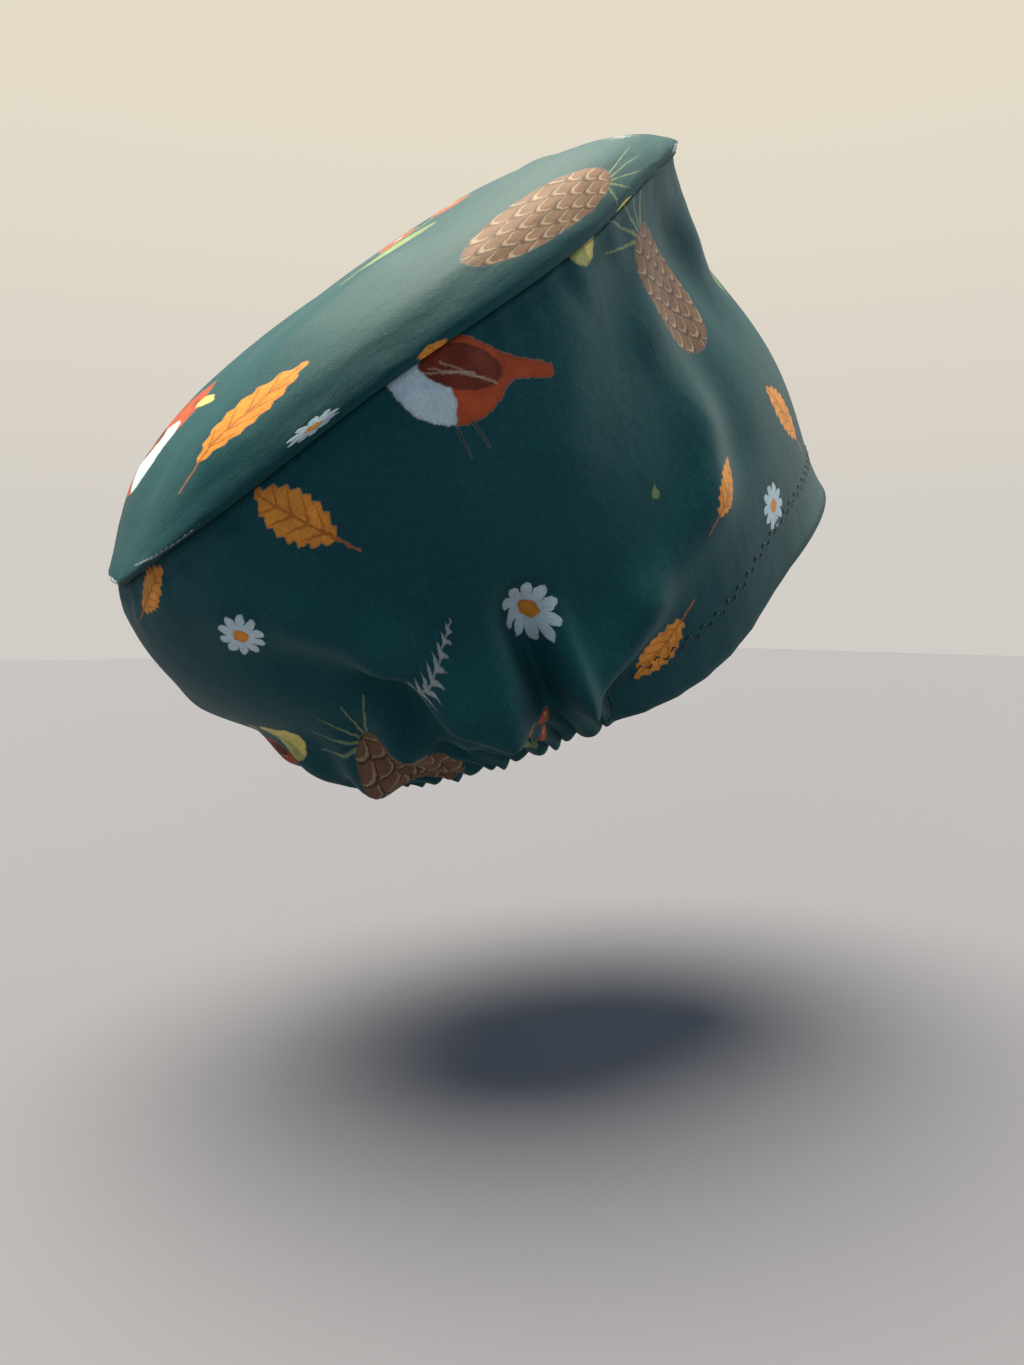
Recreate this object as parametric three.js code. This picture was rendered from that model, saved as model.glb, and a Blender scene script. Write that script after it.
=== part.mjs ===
// A soft cloth scrub cap, worn form: an oval top panel sewn to a tall side panel,
// whose lower edge is turned up as a plain hem in front and as a gathered
// elastic channel behind the ears.
//
// Millimetres, +Z up. The wearer looks along -Y and the wearer's left is +X.
// The origin is the centre of the head opening. Lengths round the cap are
// measured from the centre front towards the wearer's right.

import * as THREE from "three";

// Head opening: an oval that slopes from the forehead down to the nape.
const OPENING_LENGTH = 206;
const OPENING_WIDTH = 166;
const OPENING_TILT = THREE.MathUtils.degToRad(34.8);

// Top panel's seam: an oval that leans back behind the head.
const CROWN_LENGTH = 246;
const CROWN_WIDTH = 186;
const CROWN_TILT = THREE.MathUtils.degToRad(40.6);
const CROWN_BACK = 88;
const CROWN_RISE = 91;

// Cloth, seams and hem.
const CLOTH = 1.2;
const GAP = 0.35;
const SEAM_ALLOWANCE = 6;
const HEM_DEPTH = 19;
const FRONT_HEM_HALF = 206;

// Elastic and its channel.
const ELASTIC_WIDTH = 12;
const ELASTIC_THICKNESS = 1.2;
const PUCKER_COUNT = 24;
const PUCKER_DEPTH = 3.2;
const CHANNEL_DEPTH = 1.4;
const SCALLOP_DROP = 0.8;

// How far the cloth stands out.
const WALL_BULGE = 15;
const FOLD_HEIGHT = 6;
const POUCH_DEPTH = 10;
const TOP_PUFF = 29;
const TOP_FOLD_HEIGHT = 3;
const SEAM_PULL = 1.6;
const SEAM_WAVE_HEIGHT = 2;

// Facets.
const FRONT_COLUMNS = 40;
const STEPS_PER_PUCKER = 4;
const TOP_COLUMNS = 64;

const CLOTH_COLOUR = 0x1f4f4a;
const ELASTIC_COLOUR = 0xe9e6df;

// The side panel's bulge past a straight line from hem to seam, at three heights, and
// how far the hem is lifted over the ears. turn is degrees from the centre front, the
// same on both sides; the rest are shares of WALL_BULGE.
const WALL_SECTIONS = [
  { turn: 0, low: 0.1, mid: -0.1, high: -0.5, lift: 0 },
  { turn: 35, low: 0.05, mid: 0, high: -0.55, lift: 0.25 },
  { turn: 65, low: 0.25, mid: 0.1, high: -0.4, lift: 0.3 },
  { turn: 78, low: 0.38, mid: 0.23, high: -0.14, lift: 0.2 },
  { turn: 92, low: 0.48, mid: 0.39, high: 0.08, lift: -0.8 },
  { turn: 100, low: 0.51, mid: 0.5, high: 0.18, lift: -0.35 },
  { turn: 108, low: 0.55, mid: 0.6, high: 0.27, lift: 0.2 },
  { turn: 125, low: 0.6, mid: 0.85, high: 0.53, lift: 0.2 },
  { turn: 150, low: 0.5, mid: 0.9, high: 0.8, lift: 0.35 },
  { turn: 180, low: 0.45, mid: 0.95, high: 1.0, lift: 0.2 },
];

// Soft folds in the side panel, each a straight ridge or hollow. turn is a share of the
// way round, rise a share of the way up, width a share of the crown seam's length, and
// height and sag, which is how far the fold hangs down, shares of FOLD_HEIGHT.
const WALL_FOLDS = [
  { turn: 0.106, rise: 0.97, toTurn: 0.124, toRise: 0.81, width: 0.016, height: 0.6, sag: 0 },
  { turn: 0.124, rise: 0.81, toTurn: 0.13, toRise: 0.66, width: 0.016, height: 0.3, sag: 0 },
  { turn: 0.15, rise: 0.95, toTurn: 0.14, toRise: 0.66, width: 0.018, height: -0.35, sag: 0 },
  { turn: 0.19, rise: 0.89, toTurn: 0.21, toRise: 0.76, width: 0.014, height: 0.25, sag: 0 },
  { turn: 0.207, rise: 0.72, toTurn: 0.211, toRise: 0.5, width: 0.016, height: 0.3, sag: 0 },
  { turn: 0.211, rise: 0.5, toTurn: 0.226, toRise: 0.38, width: 0.015, height: 0.4, sag: 0 },
  { turn: 0.226, rise: 0.38, toTurn: 0.277, toRise: 0.31, width: 0.014, height: 0.45, sag: 0.1 },
  { turn: 0.277, rise: 0.31, toTurn: 0.305, toRise: 0.2, width: 0.012, height: 0.7, sag: 0.3 },
  { turn: 0.185, rise: 0.62, toTurn: 0.194, toRise: 0.42, width: 0.018, height: -0.35, sag: 0 },
  { turn: 0.255, rise: 0.87, toTurn: 0.279, toRise: 0.7, width: 0.018, height: 0.3, sag: 0 },
  { turn: 0.434, rise: 0.81, toTurn: 0.409, toRise: 0.71, width: 0.015, height: 0.35, sag: 0 },
  { turn: 0.409, rise: 0.71, toTurn: 0.391, toRise: 0.57, width: 0.014, height: 0.5, sag: 0.2 },
  { turn: 0.391, rise: 0.57, toTurn: 0.375, toRise: 0.4, width: 0.013, height: 0.8, sag: 0.4 },
  { turn: 0.375, rise: 0.4, toTurn: 0.36, toRise: 0.27, width: 0.012, height: 0.9, sag: 0.6 },
  { turn: 0.425, rise: 0.62, toTurn: 0.405, toRise: 0.45, width: 0.018, height: -0.5, sag: 0 },
  { turn: 0.405, rise: 0.45, toTurn: 0.388, toRise: 0.32, width: 0.012, height: -0.7, sag: 0 },
  { turn: 0.419, rise: 0.3, toTurn: 0.378, toRise: 0.25, width: 0.011, height: 0.7, sag: 0.3 },
  { turn: 0.331, rise: 0.44, toTurn: 0.334, toRise: 0.26, width: 0.01, height: -1.5, sag: 0 },
  { turn: 0.484, rise: 0.35, toTurn: 0.45, toRise: 0.24, width: 0.013, height: 0.6, sag: 0.2 },
  { turn: 0.53, rise: 0.6, toTurn: 0.55, toRise: 0.3, width: 0.018, height: 0.6, sag: 0 },
  { turn: 0.6, rise: 0.66, toTurn: 0.62, toRise: 0.3, width: 0.016, height: 0.9, sag: 0.3 },
  { turn: 0.66, rise: 0.44, toTurn: 0.664, toRise: 0.29, width: 0.012, height: -1, sag: 0 },
  { turn: 0.75, rise: 0.36, toTurn: 0.7, toRise: 0.2, width: 0.013, height: 0.8, sag: 0.2 },
  { turn: 0.77, rise: 0.94, toTurn: 0.73, toRise: 0.6, width: 0.022, height: 0.4, sag: 0 },
  { turn: 0.79, rise: 0.7, toTurn: 0.785, toRise: 0.42, width: 0.014, height: 0.4, sag: 0 },
  { turn: 0.87, rise: 0.97, toTurn: 0.885, toRise: 0.76, width: 0.016, height: 0.5, sag: 0 },
];

// Loose pouches of cloth that sag over the elastic. reach and tall are half sizes, as
// shares of the crown seam's length and of the way up; out and drop are shares of
// POUCH_DEPTH.
const POUCHES = [
  { turn: 0.354, rise: 0.33, reach: 0.024, tall: 0.13, out: 0.9, drop: 0.5 },
  { turn: 0.312, rise: 0.25, reach: 0.02, tall: 0.1, out: 0.9, drop: 0.6 },
  { turn: 0.46, rise: 0.22, reach: 0.04, tall: 0.1, out: 0.35, drop: 0.3 },
  { turn: 0.57, rise: 0.24, reach: 0.04, tall: 0.12, out: 0.5, drop: 0.3 },
  { turn: 0.64, rise: 0.3, reach: 0.026, tall: 0.13, out: 0.9, drop: 0.5 },
  { turn: 0.69, rise: 0.24, reach: 0.022, tall: 0.11, out: 0.8, drop: 0.5 },
];

// How far the crown seam stands above its plane, by degrees from the centre front, as a
// share of SEAM_WAVE_HEIGHT.
const SEAM_WAVE = [
  { turn: 0, lift: -0.8 },
  { turn: 20, lift: -0.9 },
  { turn: 45, lift: -0.3 },
  { turn: 63, lift: 0.4 },
  { turn: 74, lift: -0.6 },
  { turn: 85, lift: -0.8 },
  { turn: 100, lift: 0 },
  { turn: 112, lift: 0.8 },
  { turn: 124, lift: 1.2 },
  { turn: 136, lift: 0.6 },
  { turn: 150, lift: -0.1 },
  { turn: 165, lift: -0.5 },
  { turn: 180, lift: -2.2 },
];

// The top panel from its middle to its seam: reach is a share of the way out to the
// seam, up a share of the puff there.
const TOP_PROFILE = [
  { reach: 0, up: 1 },
  { reach: 0.36, up: 0.96 },
  { reach: 0.64, up: 0.84 },
  { reach: 0.82, up: 0.69 },
  { reach: 0.93, up: 0.5 },
  { reach: 0.985, up: 0.28 },
  { reach: 1.01, up: 0.1 },
  { reach: 1, up: 0 },
];

// The puff along the top panel, from its back end (-1) to its front end (1), as a share
// of TOP_PUFF.
const TOP_LENGTHWISE = [
  { along: -1, puff: 0.12 },
  { along: -0.8, puff: 0.78 },
  { along: -0.5, puff: 0.96 },
  { along: -0.1, puff: 0.97 },
  { along: 0.3, puff: 0.95 },
  { along: 0.65, puff: 0.74 },
  { along: 0.85, puff: 0.34 },
  { along: 1, puff: 0 },
];

// Long soft folds in the top panel. along and across are shares of the half length and
// half width, with across positive to the wearer's left; height is a share of
// TOP_FOLD_HEIGHT.
const TOP_FOLDS = [
  { along: 0.65, across: -0.2, toAlong: 0.85, toAcross: -0.05, width: 0.12, height: 1.4 },
  { along: 0.5, across: 0.3, toAlong: 0.8, toAcross: 0.35, width: 0.14, height: 1.0 },
  { along: 0.35, across: 0.45, toAlong: 0.5, toAcross: 0.5, width: 0.12, height: -1.0 },
  { along: -0.7, across: -0.5, toAlong: -0.2, toAcross: -0.62, width: 0.1, height: 0.8 },
  { along: -0.75, across: -0.1, toAlong: 0.1, toAcross: -0.2, width: 0.12, height: -0.7 },
  { along: -0.7, across: 0.4, toAlong: 0, toAcross: 0.5, width: 0.14, height: 0.8 },
];

// Heights of the side panel's rows of facets, as shares of the way up.
const WALL_ROWS = [1, 0.97, 0.89, 0.77, 0.63, 0.49, 0.36, 0.24];

const UP = new THREE.Vector3(0, 0, 1);

/** An oval that leans back by tilt, read by the length along it from its front point. */
class TiltedOval {
  constructor(length, width, tilt, centre) {
    this.curve = new THREE.EllipseCurve(0, 0, length / 2, width / 2);
    this.curve.arcLengthDivisions = 720;
    this.length = this.curve.getLength();
    this.centre = centre;
    this.lengthwise = new THREE.Vector3(0, -Math.cos(tilt), Math.sin(tilt));
    this.crosswise = new THREE.Vector3(-1, 0, 0);
    this.normal = new THREE.Vector3(0, Math.sin(tilt), Math.cos(tilt));
  }

  flat(distance) {
    const share = distance / this.length;
    return this.curve.getPointAt(share - Math.floor(share));
  }

  point(distance, lift = 0) {
    const flat = this.flat(distance);
    return this.centre
      .clone()
      .addScaledVector(this.lengthwise, flat.x)
      .addScaledVector(this.crosswise, flat.y)
      .addScaledVector(this.normal, lift);
  }
}

const opening = new TiltedOval(
  OPENING_LENGTH,
  OPENING_WIDTH,
  OPENING_TILT,
  new THREE.Vector3(0, 0, 0),
);
const crown = new TiltedOval(
  CROWN_LENGTH,
  CROWN_WIDTH,
  CROWN_TILT,
  new THREE.Vector3(0, CROWN_BACK, CROWN_RISE),
);
const girth = crown.length;
const wallHeight =
  (crown.point(0).distanceTo(opening.point(0)) +
    crown.point(girth / 2).distanceTo(opening.point(opening.length / 2))) /
  2;
const hemRise = HEM_DEPTH / wallHeight;

/** Smooth step from 0 to 1 as x goes from low to high. */
function ease(x, low, high) {
  return THREE.MathUtils.smoothstep(x, low, high);
}

/** A column of a table at x, eased between the rows that x lies between. */
function between(rows, key, column, x) {
  const after = rows.findIndex((row) => row[key] >= x);
  if (after === 0) return rows[0][column];
  if (after < 0) return rows[rows.length - 1][column];
  const [low, high] = [rows[after - 1], rows[after]];
  const share = (x - low[key]) / (high[key] - low[key]);
  return THREE.MathUtils.lerp(low[column], high[column], share);
}

/** A table column at x, averaged over a spread so that it has no corners. */
function softBetween(rows, key, column, x, spread) {
  const near = [-1, -0.5, 0, 0.5, 1].map((k) =>
    between(rows, key, column, x + k * spread),
  );
  return near.reduce((sum, value) => sum + value, 0) / near.length;
}

/** Height of a ridge: 1 on the line from a to b, falling away over width. */
function ridge(x, y, fold, width) {
  const [dx, dy] = [fold.toX - fold.x, fold.toY - fold.y];
  const share = THREE.MathUtils.clamp(
    ((x - fold.x) * dx + (y - fold.y) * dy) / (dx * dx + dy * dy),
    0,
    1,
  );
  const away = Math.hypot(x - fold.x - share * dx, y - fold.y - share * dy);
  return Math.exp(-((away / width) ** 2));
}

/** Degrees from the centre front, alike on both sides. */
function degreesFromFront(distance) {
  const share = distance / girth - Math.floor(distance / girth);
  return 360 * Math.min(share, 1 - share);
}

/** Length along the opening where the cloth at this length of the crown seam ends. The
 * front hem keeps its length; behind it the elastic draws the cloth up. */
function gathered(distance) {
  const side = Math.min(distance, girth - distance);
  const drawn = (opening.length / 2 - FRONT_HEM_HALF) / (girth / 2 - FRONT_HEM_HALF);
  const held =
    side < FRONT_HEM_HALF
      ? side
      : FRONT_HEM_HALF + (side - FRONT_HEM_HALF) * drawn;
  return distance > girth / 2 ? opening.length - held : held;
}

/** How far the crown seam stands above its plane. */
function seamWave(distance) {
  const degrees = degreesFromFront(distance);
  return SEAM_WAVE_HEIGHT * softBetween(SEAM_WAVE, "turn", "lift", degrees, 8);
}

/** Point of the crown seam, which waves a little about its plane. */
function crownPoint(distance, lift = 0) {
  return crown.point(distance, lift + seamWave(distance));
}

/** Side panel without folds, as a point; rise is 0 at the hem and 1 at the crown seam. */
function plainWall(distance, rise) {
  const around = ((distance % girth) + girth) % girth;
  const degrees = degreesFromFront(around);
  const spread = 12;
  const [low, mid, high, lift] = ["low", "mid", "high", "lift"].map(
    (column) =>
      WALL_BULGE * softBetween(WALL_SECTIONS, "turn", column, degrees, spread),
  );
  const foot = opening.point(gathered(around), lift);
  const head = crownPoint(around);
  const chord = head.clone().sub(foot);
  const step = 2;
  const along = crownPoint(around + step)
    .sub(crownPoint(around - step))
    .normalize();
  const outward = new THREE.Vector3().crossVectors(chord, along).normalize();
  // The quartic through 0 at both ends and low, mid and high at the quarters.
  const quarters = [low, mid, high];
  const bulge = quarters.reduce((sum, value, i) => {
    const own = (i + 1) / 4;
    const others = [0, 0.25, 0.5, 0.75, 1].filter((x) => x !== own);
    return (
      sum + value * others.reduce((k, x) => (k * (rise - x)) / (own - x), 1)
    );
  }, 0);
  return foot.addScaledVector(chord, rise).addScaledVector(outward, bulge);
}

/** Outward normal of the side panel without folds. */
function plainNormal(distance, rise) {
  const [stepAlong, stepUp] = [1, 0.01];
  const along = plainWall(distance + stepAlong, rise).sub(
    plainWall(distance - stepAlong, rise),
  );
  const up = plainWall(distance, rise + stepUp).sub(
    plainWall(distance, rise - stepUp),
  );
  return up.cross(along).normalize();
}

/** 0 between the ears in front, 1 over the elastic, with soft ends. */
function overElastic(distance, run) {
  const side = Math.min(distance, girth - distance);
  return ease(side, FRONT_HEM_HALF, FRONT_HEM_HALF + run);
}

const gatheredCloth = girth - 2 * FRONT_HEM_HALF;
const puckerPitch = gatheredCloth / PUCKER_COUNT;

/** The gathers' wave, 0 in the hollows and about 1 on the crests. */
function puckerWave(distance) {
  const index = (distance - FRONT_HEM_HALF) / puckerPitch;
  const uneven = 0.85 + 0.25 * Math.sin(2.3 * Math.floor(index));
  return overElastic(distance, puckerPitch / 2) * uneven * Math.sin(Math.PI * index) ** 2;
}

/** Wider folds that carry on above the gathers. */
function fanWave(distance) {
  const index = (distance - FRONT_HEM_HALF) / (2.5 * puckerPitch);
  return overElastic(distance, puckerPitch) * Math.sin(Math.PI * index) ** 2;
}

/** How far the folds, gathers and pouches push the cloth out, and how far it sags. */
function wallRelief(distance, rise) {
  const turn = distance / girth;
  const free = THREE.MathUtils.lerp(
    ease(rise, hemRise, hemRise + 0.12),
    ease(rise, 0, hemRise),
    overElastic(distance, puckerPitch),
  );
  const towardSeam = 1 - ease(rise, 0.88, 1);
  let out =
    PUCKER_DEPTH * puckerWave(distance) * (1 - ease(rise, hemRise, 2.2 * hemRise)) +
    PUCKER_DEPTH *
      fanWave(distance) *
      ease(rise, 0, 1.5 * hemRise) *
      (1 - ease(rise, 1.8 * hemRise, 3.2 * hemRise));
  let drop = SCALLOP_DROP * puckerWave(distance) * (1 - ease(rise, 0, hemRise));
  for (const fold of WALL_FOLDS) {
    const line = {
      x: fold.turn * girth,
      y: fold.rise * wallHeight,
      toX: fold.toTurn * girth,
      toY: fold.toRise * wallHeight,
    };
    const shape =
      FOLD_HEIGHT *
      free *
      towardSeam *
      ridge(turn * girth, rise * wallHeight, line, fold.width * girth);
    out += fold.height * shape;
    drop += fold.sag * shape;
  }
  for (const pouch of POUCHES) {
    const near = Math.exp(
      -(((turn - pouch.turn) / pouch.reach) ** 2) -
        ((rise - pouch.rise) / pouch.tall) ** 2,
    );
    out += POUCH_DEPTH * pouch.out * free * near;
    drop += POUCH_DEPTH * pouch.drop * free * near;
  }
  out -= SEAM_PULL * ease(rise, 0.93, 1);
  return { out, drop };
}

/** Outside of the side panel. */
function wall(distance, rise) {
  const relief = wallRelief(distance, rise);
  return plainWall(distance, rise)
    .addScaledVector(plainNormal(distance, rise), relief.out)
    .addScaledVector(UP, -relief.drop);
}

/** Point of the crown seam's crease, pulled in under the rolled edges. */
function seamPoint(distance, inward, lift) {
  const point = crownPoint(distance, lift);
  const toCentre = crown
    .point(distance + girth / 2, lift + seamWave(distance))
    .sub(point)
    .normalize();
  return point.addScaledVector(toCentre, SEAM_PULL + inward);
}

/** Top panel's outside; x is lengthwise, y crosswise, reach the way out to the seam. */
function topPoint(distance, row) {
  const flat = crown.flat(distance);
  const inset = 1 - SEAM_PULL / Math.min(CROWN_LENGTH, CROWN_WIDTH);
  const x = flat.x * row.reach * inset;
  const y = flat.y * row.reach * inset;
  const along = (2 * x) / CROWN_LENGTH;
  const across = (-2 * y) / CROWN_WIDTH;
  let puff = TOP_PUFF * softBetween(TOP_LENGTHWISE, "along", "puff", along, 0.1);
  for (const fold of TOP_FOLDS) {
    const line = {
      x: fold.along,
      y: fold.across,
      toX: fold.toAlong,
      toY: fold.toAcross,
    };
    puff += TOP_FOLD_HEIGHT * fold.height * ridge(along, across, line, fold.width);
  }
  return crown.centre
    .clone()
    .addScaledVector(crown.lengthwise, x)
    .addScaledVector(crown.crosswise, y)
    .addScaledVector(
      crown.normal,
      GAP + puff * row.up + seamWave(distance) * row.reach ** 2,
    );
}

/** Mitred normal of a sheet at one vertex, from the columns of points beside it. */
function sheetNormal(columns, i, j, closed) {
  const last = columns.length - 1;
  const before = columns[i > 0 ? i - 1 : closed ? last : 0][j];
  const after = columns[i < last ? i + 1 : closed ? 0 : last][j];
  const along = after.clone().sub(before);
  const column = columns[i];
  const faces = [];
  if (j > 0) faces.push(column[j - 1].clone().sub(column[j]));
  if (j < column.length - 1) faces.push(column[j].clone().sub(column[j + 1]));
  const normals = faces.map((up) => up.cross(along).normalize());
  if (normals.length === 1) return normals[0];
  const [above, below] = normals;
  return above
    .clone()
    .add(below)
    .divideScalar(1 + Math.max(above.dot(below), -0.4));
}

/** A closed solid of cloth. columns hold points of its outer face from top to bottom and
 * follow each other round the cap; pole closes a ring of columns over its middle. */
function clothSolid(columns, thickness, { closed, pole = null }) {
  const rows = columns[0].length;
  const inner = columns.map((column, i) =>
    column.map((point, j) =>
      point
        .clone()
        .addScaledVector(sheetNormal(columns, i, j, closed), -thickness),
    ),
  );
  const points = [...columns.flat(), ...inner.flat()];
  const innerStart = columns.length * rows;
  const at = (i, j, side) => side * innerStart + (i % columns.length) * rows + j;
  const triangles = [];
  const quad = (a, b, c, d) => triangles.push(a, b, c, a, c, d);
  const spans = closed ? columns.length : columns.length - 1;
  for (let i = 0; i < spans; i += 1) {
    for (let j = 0; j < rows - 1; j += 1) {
      quad(at(i, j, 0), at(i + 1, j, 0), at(i + 1, j + 1, 0), at(i, j + 1, 0));
      quad(at(i, j, 1), at(i, j + 1, 1), at(i + 1, j + 1, 1), at(i + 1, j, 1));
    }
    const foot = rows - 1;
    quad(at(i, foot, 0), at(i + 1, foot, 0), at(i + 1, foot, 1), at(i, foot, 1));
    if (!pole) quad(at(i, 0, 0), at(i, 0, 1), at(i + 1, 0, 1), at(i + 1, 0, 0));
  }
  if (!closed) {
    const end = columns.length - 1;
    for (let j = 0; j < rows - 1; j += 1) {
      quad(at(0, j, 0), at(0, j + 1, 0), at(0, j + 1, 1), at(0, j, 1));
      quad(at(end, j, 0), at(end, j, 1), at(end, j + 1, 1), at(end, j + 1, 0));
    }
  }
  if (pole) {
    const top = points.push(pole) - 1;
    const under = points.push(pole.clone().addScaledVector(crown.normal, -thickness)) - 1;
    for (let i = 0; i < columns.length; i += 1) {
      triangles.push(top, at(i + 1, 0, 0), at(i, 0, 0));
      triangles.push(under, at(i, 0, 1), at(i + 1, 0, 1));
    }
  }
  const geometry = new THREE.BufferGeometry().setFromPoints(points);
  geometry.setIndex(triangles);
  geometry.computeVertexNormals();
  return geometry;
}

/** Lengths round the cap where the facets' columns stand. */
function columnLengths(from, to, count) {
  return Array.from({ length: count + 1 }, (_, i) => from + ((to - from) * i) / count);
}

const frontLengths = columnLengths(-FRONT_HEM_HALF, FRONT_HEM_HALF, FRONT_COLUMNS);
const backLengths = columnLengths(
  FRONT_HEM_HALF,
  girth - FRONT_HEM_HALF,
  PUCKER_COUNT * STEPS_PER_PUCKER,
);
const aroundLengths = [...frontLengths.slice(0, -1), ...backLengths.slice(0, -1)];

/** A length brought between 0 and the crown seam's length. */
function wrapped(distance) {
  return ((distance % girth) + girth) % girth;
}

const footRise = (CLOTH + GAP) / wallHeight;
const underOneLayer = CLOTH + GAP;
const underElastic = underOneLayer + ELASTIC_THICKNESS + GAP;

/** Depth of the turned-up layer's outer face below the side panel's outside. */
function turnUpDepth(distance) {
  return (
    underOneLayer +
    overElastic(distance, 2 * puckerPitch) *
      (underElastic - underOneLayer + CHANNEL_DEPTH * (1 - puckerWave(distance)))
  );
}

/** A point inside the wall, at a depth below its outside with no folds. */
function insideWall(distance, rise, depth) {
  return plainWall(distance, rise).addScaledVector(
    plainNormal(distance, rise),
    -depth,
  );
}

/** The tall outer wall, with its seam allowance at the top and its fold at the foot. */
function sidePanel() {
  const rises = [...WALL_ROWS, hemRise, 0.4 * hemRise, 0];
  const columns = aroundLengths.map((length) => {
    const distance = wrapped(length);
    const foot = wall(distance, 0);
    const underFold = insideWall(distance, 0, turnUpDepth(distance) + CLOTH);
    underFold.z = Math.min(underFold.z, foot.z + CLOTH);
    return [
      seamPoint(distance, SEAM_ALLOWANCE, 0),
      seamPoint(distance, 0, 0),
      ...rises.slice(1).map((rise) => wall(distance, rise)),
      underFold,
    ];
  });
  return clothSolid(columns, CLOTH, { closed: true });
}

/** The puffed oval over the head, with its rolled edge and seam allowance. */
function topPanel() {
  const lengths = columnLengths(0, girth, TOP_COLUMNS).slice(0, -1);
  const columns = lengths.map((distance) => [
    ...TOP_PROFILE.slice(1, -1).map((row) => topPoint(distance, row)),
    seamPoint(distance, 0, GAP),
    seamPoint(distance, SEAM_ALLOWANCE, GAP),
  ]);
  const pole = topPoint(0, TOP_PROFILE[0]);
  return clothSolid(columns, CLOTH, { closed: true, pole });
}

/** The side panel's edge, turned up inside between the ears. */
function frontHem() {
  const rises = [hemRise, 0.4 * hemRise, footRise];
  const columns = frontLengths.map((length, i) => {
    const isEnd = i === 0 || i === frontLengths.length - 1;
    const distance = wrapped(length - (isEnd ? (Math.sign(length) * GAP) / 2 : 0));
    return rises.map((rise) => insideWall(distance, rise, turnUpDepth(distance)));
  });
  return clothSolid(columns, CLOTH, { closed: false });
}

/** The turned-up edge behind the ears: the inner wall of the elastic's channel. */
function elasticCasing() {
  const rises = [hemRise, 0.85 * hemRise, 0.4 * hemRise, footRise];
  const columns = backLengths.map((length, i) => {
    const isEnd = i === 0 || i === backLengths.length - 1;
    const distance =
      length + (isEnd ? Math.sign(girth / 2 - length) * (GAP / 2) : 0);
    return rises.map((rise) => insideWall(distance, rise, turnUpDepth(distance)));
  });
  return clothSolid(columns, CLOTH, { closed: false });
}

/** The flat elastic in the channel, sewn at both ends. */
function elastic() {
  const topRise = footRise + ELASTIC_WIDTH / wallHeight;
  const run = 2 * STEPS_PER_PUCKER;
  const columns = backLengths
    .slice(run, -run)
    .map((distance) =>
      [topRise, footRise].map((rise) => insideWall(distance, rise, underOneLayer)),
    );
  return clothSolid(columns, ELASTIC_THICKNESS, { closed: false });
}

/** A named mesh of matt cloth or elastic. */
function piece(name, geometry, color) {
  const material = new THREE.MeshStandardMaterial({
    color,
    roughness: 0.85,
    metalness: 0,
  });
  const mesh = new THREE.Mesh(geometry, material);
  mesh.name = name;
  return mesh;
}

const cap = new THREE.Group();
cap.add(piece("top_panel", topPanel(), CLOTH_COLOUR));
cap.add(piece("side_panel", sidePanel(), CLOTH_COLOUR));
cap.add(piece("front_hem", frontHem(), CLOTH_COLOUR));
cap.add(piece("elastic_casing", elasticCasing(), CLOTH_COLOUR));
cap.add(piece("elastic", elastic(), ELASTIC_COLOUR));

export default cap;
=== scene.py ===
"""A cloth scrub cap in the shape it has when worn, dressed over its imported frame.

Lengths in the shape code are millimetres in the part's own frame: +Z is up, the wearer
looks along -Y, and the origin is the centre of the head opening. Lengths round the cap
run from the centre front towards the wearer's right. Meshes are written in metres.
"""

from __future__ import annotations

import logging
import math
from collections.abc import Sequence
from dataclasses import dataclass, field
from enum import Enum

import bpy
import numpy as np
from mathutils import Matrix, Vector


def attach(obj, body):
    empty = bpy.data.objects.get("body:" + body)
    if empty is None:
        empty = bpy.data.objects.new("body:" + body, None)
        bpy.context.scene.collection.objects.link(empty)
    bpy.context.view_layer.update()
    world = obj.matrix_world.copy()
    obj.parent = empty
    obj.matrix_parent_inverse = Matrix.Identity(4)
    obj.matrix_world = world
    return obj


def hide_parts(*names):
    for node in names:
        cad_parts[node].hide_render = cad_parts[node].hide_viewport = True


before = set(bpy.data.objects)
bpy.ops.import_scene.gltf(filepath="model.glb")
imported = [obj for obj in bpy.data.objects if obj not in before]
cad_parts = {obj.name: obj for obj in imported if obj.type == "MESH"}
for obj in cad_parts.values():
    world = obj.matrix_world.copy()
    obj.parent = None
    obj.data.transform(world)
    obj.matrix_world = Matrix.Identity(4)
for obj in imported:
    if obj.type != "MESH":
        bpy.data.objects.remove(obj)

LOG = logging.getLogger("scrub_cap")
MM = 0.001
CLOTH_UV = "cloth"
UP = np.array([0.0, 0.0, 1.0])
PRINT_REPEATS_ROUND = 4
PRINT_REPEAT_HEIGHT = 150.0


def linear(red: int, green: int, blue: int) -> tuple[float, float, float, float]:
    """Turns an 8-bit display colour into the linear colour that a shader takes.

    Args:
        red: Red, 0 to 255.
        green: Green, 0 to 255.
        blue: Blue, 0 to 255.

    Returns:
        Linear red, green, blue and full alpha.
    """
    parts = [c / 255 for c in (red, green, blue)]
    low = [c / 12.92 if c <= 0.04045 else ((c + 0.055) / 1.055) ** 2.4 for c in parts]
    return (low[0], low[1], low[2], 1.0)


def ease(x: np.ndarray, low: float, high: float) -> np.ndarray:
    """Steps smoothly from 0 at low to 1 at high.

    Args:
        x: Values to read.
        low: Where the step starts.
        high: Where it ends.

    Returns:
        The step's value at each x.
    """
    share = np.clip((x - low) / (high - low), 0, 1)
    return share * share * (3 - 2 * share)


def unit(vectors: np.ndarray) -> np.ndarray:
    """Scales vectors to length 1."""
    return vectors / np.maximum(np.linalg.norm(vectors, axis=-1, keepdims=True), 1e-9)


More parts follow.
